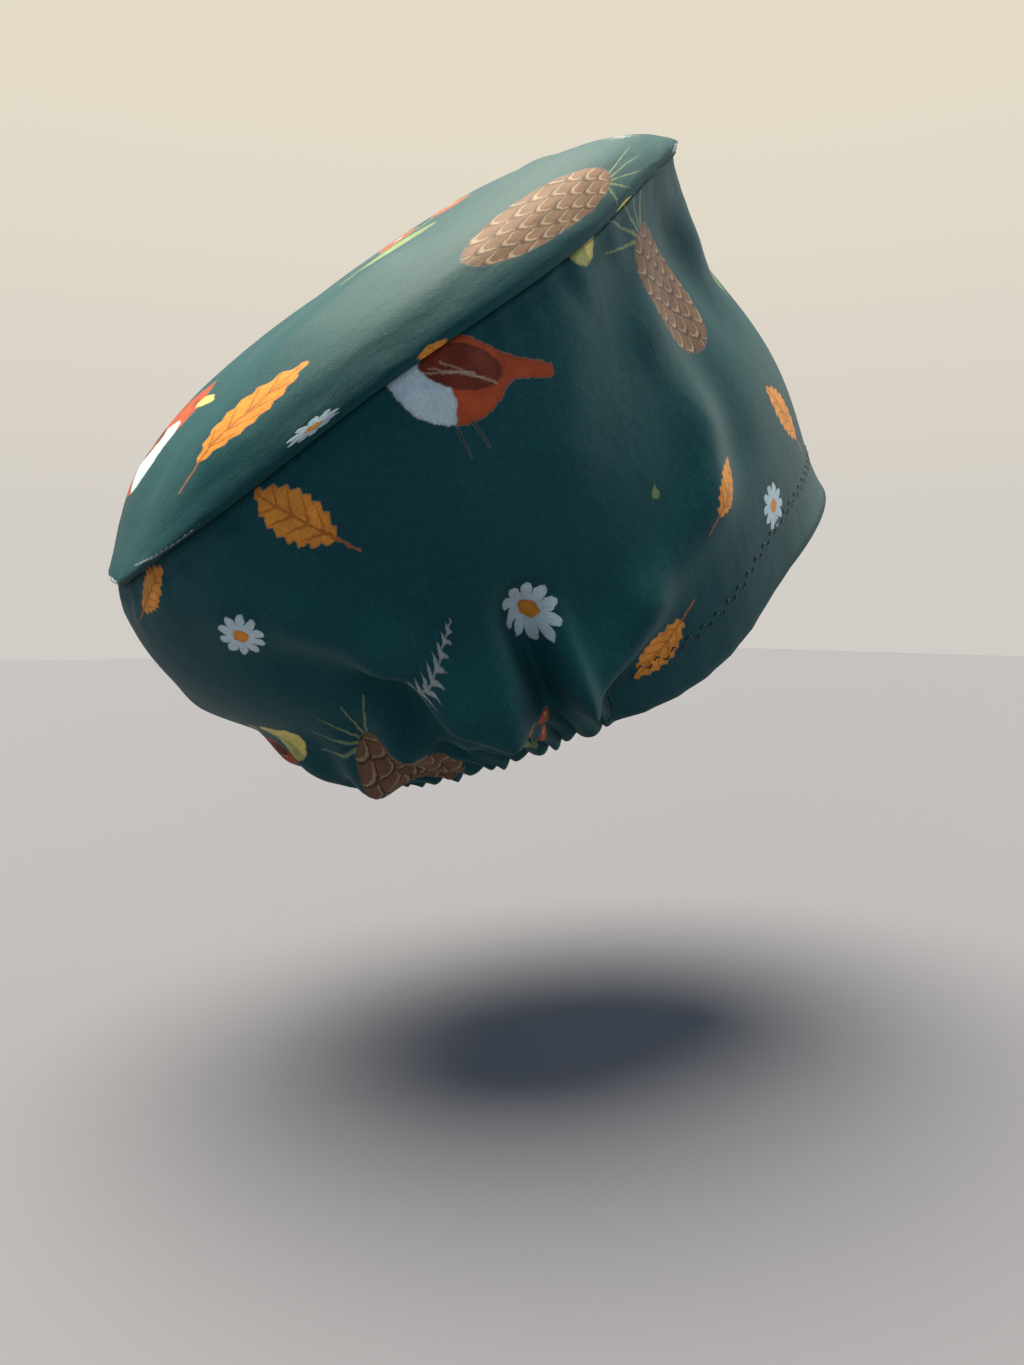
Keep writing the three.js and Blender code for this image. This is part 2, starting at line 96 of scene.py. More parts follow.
@dataclass(frozen=True)
class WallSection:
    """The side panel's bulge at one turn from the centre front, as shares of the bulge."""

    turn: float
    low: float
    mid: float
    high: float
    lift: float


@dataclass(frozen=True)
class Fold:
    """A straight soft ridge or hollow from one point of the cloth to another."""

    turn: float
    rise: float
    to_turn: float
    to_rise: float
    width: float
    height: float
    sag: float


@dataclass(frozen=True)
class Pouch:
    """Loose cloth that sags over the elastic, as shares of the pouch depth."""

    turn: float
    rise: float
    reach: float
    tall: float
    out: float
    drop: float


WALL_SECTIONS = (
    WallSection(0, 0.1, -0.1, -0.5, 0),
    WallSection(35, 0.05, 0, -0.55, 0.25),
    WallSection(65, 0.25, 0.1, -0.4, 0.3),
    WallSection(78, 0.38, 0.23, -0.14, 0.2),
    WallSection(92, 0.48, 0.39, 0.08, -0.8),
    WallSection(100, 0.51, 0.5, 0.18, -0.35),
    WallSection(108, 0.55, 0.6, 0.27, 0.2),
    WallSection(125, 0.6, 0.85, 0.53, 0.2),
    WallSection(150, 0.5, 0.9, 0.8, 0.35),
    WallSection(180, 0.45, 0.95, 1, 0.2),
)

WALL_FOLDS = (
    Fold(0.106, 0.97, 0.124, 0.81, 0.016, 0.6, 0),
    Fold(0.124, 0.81, 0.13, 0.66, 0.016, 0.3, 0),
    Fold(0.15, 0.95, 0.14, 0.66, 0.018, -0.35, 0),
    Fold(0.19, 0.89, 0.21, 0.76, 0.014, 0.25, 0),
    Fold(0.207, 0.72, 0.211, 0.5, 0.016, 0.3, 0),
    Fold(0.211, 0.5, 0.226, 0.38, 0.015, 0.4, 0),
    Fold(0.226, 0.38, 0.277, 0.31, 0.014, 0.45, 0.1),
    Fold(0.277, 0.31, 0.305, 0.2, 0.012, 0.7, 0.3),
    Fold(0.185, 0.62, 0.194, 0.42, 0.018, -0.35, 0),
    Fold(0.255, 0.87, 0.279, 0.7, 0.018, 0.3, 0),
    Fold(0.434, 0.81, 0.409, 0.71, 0.015, 0.35, 0),
    Fold(0.409, 0.71, 0.391, 0.57, 0.014, 0.5, 0.2),
    Fold(0.391, 0.57, 0.375, 0.4, 0.013, 0.8, 0.4),
    Fold(0.375, 0.4, 0.36, 0.27, 0.012, 0.9, 0.6),
    Fold(0.425, 0.62, 0.405, 0.45, 0.018, -0.5, 0),
    Fold(0.405, 0.45, 0.388, 0.32, 0.012, -0.7, 0),
    Fold(0.419, 0.3, 0.378, 0.25, 0.011, 0.7, 0.3),
    Fold(0.331, 0.44, 0.334, 0.26, 0.01, -1.5, 0),
    Fold(0.484, 0.35, 0.45, 0.24, 0.013, 0.6, 0.2),
    Fold(0.53, 0.6, 0.55, 0.3, 0.018, 0.6, 0),
    Fold(0.6, 0.66, 0.62, 0.3, 0.016, 0.9, 0.3),
    Fold(0.66, 0.44, 0.664, 0.29, 0.012, -1, 0),
    Fold(0.75, 0.36, 0.7, 0.2, 0.013, 0.8, 0.2),
    Fold(0.77, 0.94, 0.73, 0.6, 0.022, 0.4, 0),
    Fold(0.79, 0.7, 0.785, 0.42, 0.014, 0.4, 0),
    Fold(0.87, 0.97, 0.885, 0.76, 0.016, 0.5, 0),
)

POUCHES = (
    Pouch(0.354, 0.33, 0.024, 0.13, 0.9, 0.5),
    Pouch(0.312, 0.25, 0.02, 0.1, 0.9, 0.6),
    Pouch(0.46, 0.22, 0.04, 0.1, 0.35, 0.3),
    Pouch(0.57, 0.24, 0.04, 0.12, 0.5, 0.3),
    Pouch(0.64, 0.3, 0.026, 0.13, 0.9, 0.5),
    Pouch(0.69, 0.24, 0.022, 0.11, 0.8, 0.5),
)

# Degrees from the centre front and how far the crown seam stands above its plane there.
SEAM_WAVE = (
    (0, -0.8),
    (20, -0.9),
    (45, -0.3),
    (63, 0.4),
    (74, -0.6),
    (85, -0.8),
    (100, 0),
    (112, 0.8),
    (124, 1.2),
    (136, 0.6),
    (150, -0.1),
    (165, -0.5),
    (180, -2.2),
)

# Reach out to the seam and height as a share of the puff, from the middle outwards.
TOP_PROFILE = (
    (0, 1),
    (0.36, 0.96),
    (0.64, 0.84),
    (0.82, 0.69),
    (0.93, 0.5),
    (0.985, 0.28),
    (1.01, 0.1),
    (1, 0),
)

# Place along the top panel, back end to front end, and the puff there.
TOP_LENGTHWISE = (
    (-1, 0.12),
    (-0.8, 0.78),
    (-0.5, 0.96),
    (-0.1, 0.97),
    (0.3, 0.95),
    (0.65, 0.74),
    (0.85, 0.34),
    (1, 0),
)

# Along, across, to along, to across, width and height of the top panel's soft folds.
TOP_FOLDS = (
    (0.65, -0.2, 0.85, -0.05, 0.12, 1.4),
    (0.5, 0.3, 0.8, 0.35, 0.14, 1),
    (0.35, 0.45, 0.5, 0.5, 0.12, -1),
    (-0.7, -0.5, -0.2, -0.62, 0.1, 0.8),
    (-0.75, -0.1, 0.1, -0.2, 0.12, -0.7),
    (-0.7, 0.4, 0, 0.5, 0.14, 0.8),
)

# Waves round the cap, where each starts and its height: the ripples beside the seam.
SEAM_RIPPLES = ((31, 0.0, 0.5), (43, 1.3, 0.4), (67, 2.1, 0.35), (17, 0.7, 0.5))

# How far to either side a direction is taken: along the seam, along the wall and up it.
SEAM_STEP = 2
WALL_STEP = 1
RISE_STEP = 0.01


@dataclass
class TiltedOval:
    """An oval that leans back by a tilt, read by the length along it from its front."""

    length: float
    width: float
    tilt: float
    centre: tuple[float, float, float]
    steps: int = 2880

    def __post_init__(self) -> None:
        """Measures the oval once, so that it can be read by length."""
        self.angle = np.linspace(0, 2 * np.pi, self.steps + 1)
        x = self.length / 2 * np.cos(self.angle)
        y = self.width / 2 * np.sin(self.angle)
        step = np.hypot(np.diff(x), np.diff(y))
        self.travel = np.concatenate([[0], np.cumsum(step)])
        self.round = float(self.travel[-1])
        lean = math.radians(self.tilt)
        self.lengthwise = np.array([0, -math.cos(lean), math.sin(lean)])
        self.crosswise = np.array([-1.0, 0, 0])
        self.normal = np.array([0, math.sin(lean), math.cos(lean)])

    def flat(self, distance: np.ndarray) -> tuple[np.ndarray, np.ndarray]:
        """Gives the two flat coordinates at lengths along the oval."""
        angle = np.interp(np.mod(distance, self.round), self.travel, self.angle)
        return self.length / 2 * np.cos(angle), self.width / 2 * np.sin(angle)

    def point(self, distance: np.ndarray, lift: np.ndarray | float = 0) -> np.ndarray:
        """Gives points at lengths along the oval, lifted along its normal.

        Args:
            distance: Lengths from the front point.
            lift: Heights above the oval's plane.

        Returns:
            Points, with the coordinates in the last axis.
        """
        x, y = self.flat(distance)
        raised = np.asarray(lift) + 0 * x
        return (
            np.array(self.centre)
            + x[..., None] * self.lengthwise
            + y[..., None] * self.crosswise
            + raised[..., None] * self.normal
        )


@dataclass
class CapForm:
    """The cap's main surfaces, worked out from its named sizes.

    Each pair says where a form starts to change and where it has changed: a reach goes
    from none to whole, and a fade from whole to none. Those of the gathers are counted
    in hem depths, and the others run from 0 at the hem or the top's middle to 1 at the
    crown seam.
    """

    opening: TiltedOval = field(
        default_factory=lambda: TiltedOval(206, 166, 34.8, (0, 0, 0))
    )
    crown: TiltedOval = field(
        default_factory=lambda: TiltedOval(246, 186, 40.6, (0, 88, 91))
    )
    front_hem_half: float = 206
    hem_depth: float = 19
    pucker_count: int = 30
    pucker_depth: float = 4.8
    pucker_lean: float = 3.4
    pucker_drift: float = 0.22
    pucker_drift_turn: float = 1.9
    pucker_crest: float = 0.82
    pucker_crest_swing: float = 0.24
    pucker_crest_turn: float = 2.3
    pucker_roundness: float = 0.7
    pucker_foot: float = 0.55
    pucker_reach: tuple[float, float] = (0, 0.8)
    pucker_fade: tuple[float, float] = (0.7, 1.8)
    fan_width: float = 2.5
    fan_reach: tuple[float, float] = (0, 1.5)
    fan_fade: tuple[float, float] = (1.8, 3.2)
    scallop_drop: float = 1.0
    wall_bulge: float = 15
    section_blend: float = 12
    fold_height: float = 6
    fold_run: float = 0.12
    fold_fade: tuple[float, float] = (0.88, 1)
    pouch_depth: float = 10
    top_puff: float = 29
    puff_blend: float = 0.1
    top_fold_height: float = 3
    seam_pull: float = 1.6
    seam_pull_reach: tuple[float, float] = (0.93, 1)
    seam_ripple_height: float = 0.45
    wall_ripple_reach: tuple[float, float] = (0.86, 0.97)
    top_ripple_reach: tuple[float, float] = (0.72, 0.9)
    top_ripple_gain: float = 4
    seam_wave_height: float = 2
    seam_wave_blend: float = 8

    def __post_init__(self) -> None:
        """Works out the lengths that follow from the named sizes."""
        self.girth = self.crown.round
        front = self.crown.point(np.array(0.0)) - self.opening.point(np.array(0.0))
        back = self.crown.point(np.array(self.girth / 2)) - self.opening.point(
            np.array(self.opening.round / 2)
        )
        self.wall_height = (np.linalg.norm(front) + np.linalg.norm(back)) / 2
        self.hem_rise = self.hem_depth / self.wall_height
        self.pitch = (self.girth - 2 * self.front_hem_half) / self.pucker_count

    def side_of(self, distance: np.ndarray) -> np.ndarray:
        """Gives the shorter way round to the centre front."""
        around = np.mod(distance, self.girth)
        return np.minimum(around, self.girth - around)

    def over_elastic(self, distance: np.ndarray, run: float) -> np.ndarray:
        """Gives 0 between the ears in front and 1 over the elastic."""
        start = self.front_hem_half
        return ease(self.side_of(distance), start, start + run)

    def gathered(self, distance: np.ndarray) -> np.ndarray:
        """Gives the length along the opening where the cloth's length ends.

        Args:
            distance: Lengths along the crown seam.

        Returns:
            Lengths along the opening; behind the front hem the elastic draws them up.
        """
        start = self.front_hem_half
        side = self.side_of(distance)
        drawn = (self.opening.round / 2 - start) / (self.girth / 2 - start)
        held = np.where(side < start, side, start + (side - start) * drawn)
        past = np.mod(distance, self.girth) > self.girth / 2
        return np.where(past, self.opening.round - held, held)

    def degrees(self, distance: np.ndarray) -> np.ndarray:
        """Gives the turn from the centre front, the shorter way round."""
        return 360 * self.side_of(distance) / self.girth

    def section(self, column: str, distance: np.ndarray) -> np.ndarray:
        """Reads one column of the wall's sections.

        Args:
            column: The column's name.
            distance: Lengths along the crown seam.

        Returns:
            The column's values there, in millimetres.
        """
        rows = [(row.turn, getattr(row, column)) for row in WALL_SECTIONS]
        shares = softened(self.degrees(distance), rows, self.section_blend)
        return self.wall_bulge * shares

    def seam_wave(self, distance: np.ndarray) -> np.ndarray:
        """Gives how far the crown seam stands above its plane."""
        shares = softened(self.degrees(distance), SEAM_WAVE, self.seam_wave_blend)
        return self.seam_wave_height * shares

    def crown_point(
        self, distance: np.ndarray, lift: np.ndarray | float = 0
    ) -> np.ndarray:
        """Gives points of the crown seam, which waves a little about its plane."""
        return self.crown.point(distance, lift + self.seam_wave(distance))

    def plain_wall(self, distance: np.ndarray, rise: np.ndarray) -> np.ndarray:
        """Gives the side panel without folds.

        Args:
            distance: Lengths along the crown seam.
            rise: 0 at the hem and 1 at the crown seam.

        Returns:
            Points on the smooth wall.
        """
        foot = self.opening.point(
            self.gathered(distance), self.section("lift", distance)
        )
        chord = self.crown_point(distance) - foot
        ahead = self.crown_point(distance + SEAM_STEP)
        along = unit(ahead - self.crown_point(distance - SEAM_STEP))
        outward = unit(np.cross(chord, along))
        bulge = 0 * rise
        for own, column in ((0.25, "low"), (0.5, "mid"), (0.75, "high")):
            part = self.section(column, distance)
            for other in (0, 0.25, 0.5, 0.75, 1):
                if other != own:
                    part = part * (rise - other) / (own - other)
            bulge = bulge + part
        return foot + chord * rise[..., None] + outward * bulge[..., None]

    def plain_normal(self, distance: np.ndarray, rise: np.ndarray) -> np.ndarray:
        """Gives the outward normal of the side panel without folds.

        Args:
            distance: Lengths along the crown seam.
            rise: 0 at the hem and 1 at the crown seam.

        Returns:
            Unit vectors, with the coordinates in the last axis.
        """
        ahead = self.plain_wall(distance + WALL_STEP, rise)
        along = ahead - self.plain_wall(distance - WALL_STEP, rise)
        above = self.plain_wall(distance, rise + RISE_STEP)
        up = above - self.plain_wall(distance, rise - RISE_STEP)
        return unit(np.cross(up, along))

    def pucker_wave(
        self, distance: np.ndarray, rise: np.ndarray | float = 0.0
    ) -> np.ndarray:
        """Gives the gathers' wave: round crests of about 1 between narrow creases.

        Args:
            distance: Lengths along the crown seam.
            rise: 0 at the hem and 1 at the crown seam; the crests lean back as they rise.

        Returns:
            0 in the creases and about 1 on the crests.
        """
        even = self.pucker_index(distance)
        drift = self.pucker_drift * np.sin(self.pucker_drift_turn * even)
        index = even + drift - self.pucker_lean * rise
        swing = np.sin(self.pucker_crest_turn * np.floor(index))
        crest = self.pucker_crest + self.pucker_crest_swing * swing
        wave = np.abs(np.sin(np.pi * index)) ** self.pucker_roundness
        return self.over_elastic(distance, self.pitch) * crest * wave

    def pucker_index(self, distance: np.ndarray) -> np.ndarray:
        """Counts the gathers from where the front hem ends."""
        return (np.mod(distance, self.girth) - self.front_hem_half) / self.pitch

    def fan_wave(self, distance: np.ndarray) -> np.ndarray:
        """Gives the wider folds that carry on above the gathers."""
        wave = np.sin(np.pi * self.pucker_index(distance) / self.fan_width) ** 2
        return self.over_elastic(distance, self.pitch) * wave

    def seam_ripple(self, distance: np.ndarray) -> np.ndarray:
        """Gives the small uneven ripples that sewing leaves beside a seam."""
        turn = 2 * np.pi * np.mod(distance, self.girth) / self.girth
        return sum(size * np.sin(count * turn + start) for count, start, size in SEAM_RIPPLES)

    @staticmethod
    def ridge(
        x: np.ndarray,
        y: np.ndarray,
        line: Sequence[float],
        width: float,
    ) -> np.ndarray:
        """Gives the height of a soft ridge along a line.

        Args:
            x: First coordinate of the points.
            y: Second coordinate of the points.
            line: The ridge's two ends.
            width: How far from the line the ridge fades.

        Returns:
            1 on the line, falling away over the width.
        """
        x0, y0, x1, y1 = line
        dx, dy = x1 - x0, y1 - y0
        share = np.clip(((x - x0) * dx + (y - y0) * dy) / (dx * dx + dy * dy), 0, 1)
        away = np.hypot(x - x0 - share * dx, y - y0 - share * dy)
        return np.exp(-((away / width) ** 2))

    def relief(
        self, distance: np.ndarray, rise: np.ndarray
    ) -> tuple[np.ndarray, np.ndarray]:
        """Gives how far folds, gathers and pouches push the cloth out and down.

        Args:
            distance: Lengths along the crown seam.
            rise: 0 at the hem and 1 at the crown seam.

        Returns:
            Outward push and downward sag.
        """
        turn = np.mod(distance, self.girth) / self.girth
        over = self.over_elastic(distance, self.pitch)
        hem = self.hem_rise
        above_hem = ease(rise, hem, hem + self.fold_run)
        over_hem = ease(rise, 0, hem)
        free = above_hem * (1 - over) + over_hem * over
        below_seam = 1 - ease(rise, *self.fold_fade)
        puckers = self.pucker_wave(distance, rise)
        out = self.gathers(distance, rise / hem, puckers)
        ripple = self.seam_ripple(distance) * ease(rise, *self.wall_ripple_reach)
        out = out + self.seam_ripple_height * ripple
        drop = self.scallop_drop * puckers * (1 - over_hem)
        for fold in WALL_FOLDS:
            line = (
                fold.turn * self.girth,
                fold.rise * self.wall_height,
                fold.to_turn * self.girth,
                fold.to_rise * self.wall_height,
            )
            shape = self.ridge(
                turn * self.girth,
                rise * self.wall_height,
                line,
                fold.width * self.girth,
            )
            shape = self.fold_height * free * below_seam * shape
            out = out + fold.height * shape
            drop = drop + fold.sag * shape
        for pouch in POUCHES:
            near = np.exp(
                -(((turn - pouch.turn) / pouch.reach) ** 2)
                - ((rise - pouch.rise) / pouch.tall) ** 2
            )
            out = out + self.pouch_depth * pouch.out * free * near
            drop = drop + self.pouch_depth * pouch.drop * free * near
        return out - self.seam_pull * ease(rise, *self.seam_pull_reach), drop

    def gathers(
        self, distance: np.ndarray, hems: np.ndarray, puckers: np.ndarray
    ) -> np.ndarray:
        """Gives how far the gathers and the folds that fan out above them stand out.

        Args:
            distance: Lengths along the crown seam.
            hems: Heights above the hem's edge, in hem depths.
            puckers: The gathers' wave there.

        Returns:
            Outward push in millimetres.
        """
        swell = self.pucker_foot + (1 - self.pucker_foot) * ease(hems, *self.pucker_reach)
        gathered = swell * puckers * (1 - ease(hems, *self.pucker_fade))
        fanned = self.fan_wave(distance) * ease(hems, *self.fan_reach)
        fanned = fanned * (1 - ease(hems, *self.fan_fade))
        return self.pucker_depth * (gathered + fanned)

    def wall(self, distance: np.ndarray, rise: np.ndarray) -> np.ndarray:
        """Gives the outside of the side panel with its folds."""
        out, drop = self.relief(distance, rise)
        return (
            self.plain_wall(distance, rise)
            + self.plain_normal(distance, rise) * out[..., None]
            - drop[..., None] * UP
        )

    def inside(
        self, distance: np.ndarray, rise: np.ndarray, depth: np.ndarray | float
    ) -> np.ndarray:
        """Gives points at a depth inside the wall without folds."""
        deep = np.asarray(depth) + 0 * rise
        return (
            self.plain_wall(distance, rise)
            - self.plain_normal(distance, rise) * deep[..., None]
        )

    def seam(self, distance: np.ndarray, inward: float, lift: float) -> np.ndarray:
        """Gives the crown seam's crease, or points of its seam allowance.

        Args:
            distance: Lengths along the crown seam.
            inward: How far inside the crease they lie.
            lift: How far above the seam they lie.

        Returns:
            Points, with the coordinates in the last axis.
        """
        point = self.crown_point(distance, lift)
        level = lift + self.seam_wave(distance)
        across = self.crown.point(distance + self.girth / 2, level) - point
        return point + unit(across) * (self.seam_pull + inward)

    def top(self, distance: np.ndarray, share: np.ndarray) -> np.ndarray:
        """Gives the top panel's outside.

        Args:
            distance: Lengths along the crown seam.
            share: 0 at the panel's middle and 1 at its seam, as cloth runs.

        Returns:
            Points on the top panel.
        """
        rows = np.linspace(0, 1, len(TOP_PROFILE))
        reach = smooth_table(share, rows, [row[0] for row in TOP_PROFILE])
        up = smooth_table(share, rows, [row[1] for row in TOP_PROFILE])
        inset = 1 - self.seam_pull / min(self.crown.length, self.crown.width)
        flat_x, flat_y = self.crown.flat(distance)
        x, y = flat_x * reach * inset, flat_y * reach * inset
        along = 2 * x / self.crown.length
        across = -2 * y / self.crown.width
        puff = self.top_puff * softened(along, TOP_LENGTHWISE, self.puff_blend)
        for *line, width, height in TOP_FOLDS:
            shape = self.ridge(along, across, line, width)
            puff = puff + self.top_fold_height * height * shape
        ripple = self.seam_ripple(distance) * ease(share, *self.top_ripple_reach)
        ripple = self.top_ripple_gain * self.seam_ripple_height * ripple * (1 - share)
        lift = puff * up + self.seam_wave(distance) * share**2 + ripple
        return (
            np.array(self.crown.centre)
            + x[..., None] * self.crown.lengthwise
            + y[..., None] * self.crown.crosswise
            + lift[..., None] * self.crown.normal
        )


def softened(
    x: np.ndarray, rows: Sequence[tuple[float, float]], spread: float
) -> np.ndarray:
    """Reads a table of places and values with its corners taken off.

    Args:
        x: Where to read.
        rows: The table, in the order of its places.
        spread: How far to either side the reading is evened out.

    Returns:
        The mean of five readings over the spread.
    """
    places, values = zip(*rows)
    near = [np.interp(x + k * spread, places, values) for k in (-1, -0.5, 0, 0.5, 1)]
    return sum(near) / len(near)


def smooth_table(x: np.ndarray, places: np.ndarray, values: list[float]) -> np.ndarray:
    """Reads a table along a smooth curve through its rows.

    Args:
        x: Where to read.
        places: The rows' places, in order.
        values: The rows' values.

    Returns:
        The curve's values, from cubic pieces with the slope of the rows beside.
    """
    known = np.asarray(values, float)
    slope = np.gradient(known, places)
    index = np.clip(np.searchsorted(places, x, side="right") - 1, 0, len(places) - 2)
    width = places[index + 1] - places[index]
    share = (x - places[index]) / width
    square, cube = share**2, share**3
    return (
        known[index] * (2 * cube - 3 * square + 1)
        + known[index + 1] * (3 * square - 2 * cube)
        + slope[index] * width * (cube - 2 * square + share)
        + slope[index + 1] * width * (cube - square)
    )


def place_object(name: str, data: bpy.types.ID) -> bpy.types.Object:
    """Puts a mesh, a light or a camera into the scene.

    Args:
        name: The object's name.
        data: The mesh, light or camera.

    Returns:
        The new object.
    """
    made = bpy.data.objects.new(name, data)
    bpy.context.scene.collection.objects.link(made)
    return made


@dataclass
class MeshParts:
    """The faces of one mesh, gathered block by block before it is made."""

    faces: list[list[int]] = field(default_factory=list)
    corner_uv: list[np.ndarray] = field(default_factory=list)
    slots: list[int] = field(default_factory=list)

    def add(self, faces: np.ndarray, corner_uv: np.ndarray, slot: int = 0) -> None:
        """Adds faces that all have the same number of corners.

        Args:
            faces: The points of each face, by number.
            corner_uv: Place on the cloth by face and corner, in millimetres.
            slot: The faces' material.
        """
        self.faces += faces.tolist()
        self.corner_uv.append(corner_uv.reshape(-1, 2))
        self.slots += [slot] * len(faces)

    def build(self, name: str, points: np.ndarray) -> bpy.types.Object:
        """Makes the smooth-shaded object.

        Args:
            name: The object's name.
            points: Its points, in millimetres.

        Returns:
            The new object, linked to the scene.
        """
        mesh = bpy.data.meshes.new(name)
        mesh.from_pydata((points * MM).tolist(), [], self.faces)
        mesh.polygons.foreach_set("material_index", self.slots)
        mesh.polygons.foreach_set("use_smooth", [True] * len(self.faces))
        layer = mesh.uv_layers.new(name=CLOTH_UV)
        flat = np.concatenate(self.corner_uv) * MM
        layer.data.foreach_set("uv", flat.astype(np.float32).ravel())
        mesh.validate()
        mesh.update()
        return place_object(name, mesh)


@dataclass
class ClothSheet:
    """A thin closed sheet of cloth over a grid of points whose rows run downwards.

    The grid goes by column, row and coordinate, and uv by column and row, both in
    millimetres. The last column of a closed grid joins its first, and its uv has one
    column more. A middle point closes a ring's first row.
    """

    grid: np.ndarray
    uv: np.ndarray
    thickness: float
    closed: bool = False
    middle: np.ndarray | None = None

    def __post_init__(self) -> None:
        """Counts the grid and numbers the points of its first row."""
        self.columns, self.rows = self.grid.shape[:2]
        self.spans = self.columns if self.closed else self.columns - 1
        self.inside = self.columns * self.rows
        self.parts = MeshParts()
        column = np.arange(self.spans)
        self.head = column * self.rows
        self.next_head = (column + 1) % self.columns * self.rows

    def normals(self) -> np.ndarray:
        """Gives the outward unit normal at each point of the grid."""
        if self.closed:
            along = np.roll(self.grid, -1, 0) - np.roll(self.grid, 1, 0)
        else:
            along = np.gradient(self.grid, axis=0)
        up = -np.gradient(self.grid, axis=1)
        return unit(np.cross(up, along))

    def add_sides(self) -> None:
        """Adds the cloth's outside and, turned over, its inside."""
        i = np.arange(self.spans)[:, None]
        j = np.arange(self.rows - 1)[None, :]
        here = self.head[:, None] + j
        after = self.next_head[:, None] + j
        outside = np.stack([here, after, after + 1, here + 1], -1).reshape(-1, 4)
        uv = self.uv
        corners = [uv[i, j], uv[i + 1, j], uv[i + 1, j + 1], uv[i, j + 1]]
        outside_uv = np.stack(corners, 2).reshape(-1, 4, 2)
        self.parts.add(outside, outside_uv)
        self.parts.add(outside[:, ::-1] + self.inside, outside_uv[:, ::-1], 1)

    def add_rim(self, first: np.ndarray, second: np.ndarray, at: np.ndarray) -> None:
        """Adds a strip of faces from an outer edge to the inner one.

        Args:
            first: The points where each face's edge starts, by number.
            second: The points where it ends.
            at: Their place on the cloth.
        """
        corners = [first, second, second + self.inside, first + self.inside]
        self.parts.add(np.stack(corners, -1), np.repeat(at[:, None], 4, 1))

    def add_rims(self) -> None:
        """Closes every open edge of the cloth."""
        foot = self.rows - 1
        around = slice(self.spans)
        self.add_rim(self.head + foot, self.next_head + foot, self.uv[around, foot])
        if self.middle is None:
            self.add_rim(self.next_head, self.head, self.uv[around, 0])
        if not self.closed:
            side = np.arange(self.rows - 1)
            last = (self.columns - 1) * self.rows
            self.add_rim(side, side + 1, self.uv[0, :-1])
            self.add_rim(last + side + 1, last + side, self.uv[-1, :-1])

    def add_middle(self) -> np.ndarray:
        """Closes the first row round its middle.

        Returns:
            The middle's two points, on the outside and on the inside.
        """
        middle, start = self.middle, self.inside
        ring, next_ring = self.uv[: self.spans, 0], self.uv[1 : self.spans + 1, 0]
        centre = np.repeat(ring.mean(0)[None], self.spans, 0)
        top = np.full(self.spans, 2 * start)
        upper = np.stack([top, self.next_head, self.head], -1)
        lower = np.stack([top + 1, self.head + start, self.next_head + start], -1)
        self.parts.add(upper, np.stack([centre, next_ring, ring], 1))
        self.parts.add(lower, np.stack([centre, ring, next_ring], 1), 1)
        first, second = self.grid[0, 0], self.grid[1, 0]
        normal = unit(np.cross(second - middle, first - middle))
        return np.stack([middle, middle - self.thickness * normal])

    def build(self, name: str) -> bpy.types.Object:
        """Makes the sheet, with material 0 outside and material 1 inside.

        Args:
            name: The piece's name.

        Returns:
            The new object.
        """
        inner = self.grid - self.normals() * self.thickness
        points = [self.grid.reshape(-1, 3), inner.reshape(-1, 3)]
        self.add_sides()
        self.add_rims()
        if self.middle is not None:
            points.append(self.add_middle())
        return self.parts.build(name, np.concatenate(points))


Socket = bpy.types.NodeSocket
Value = float | Socket


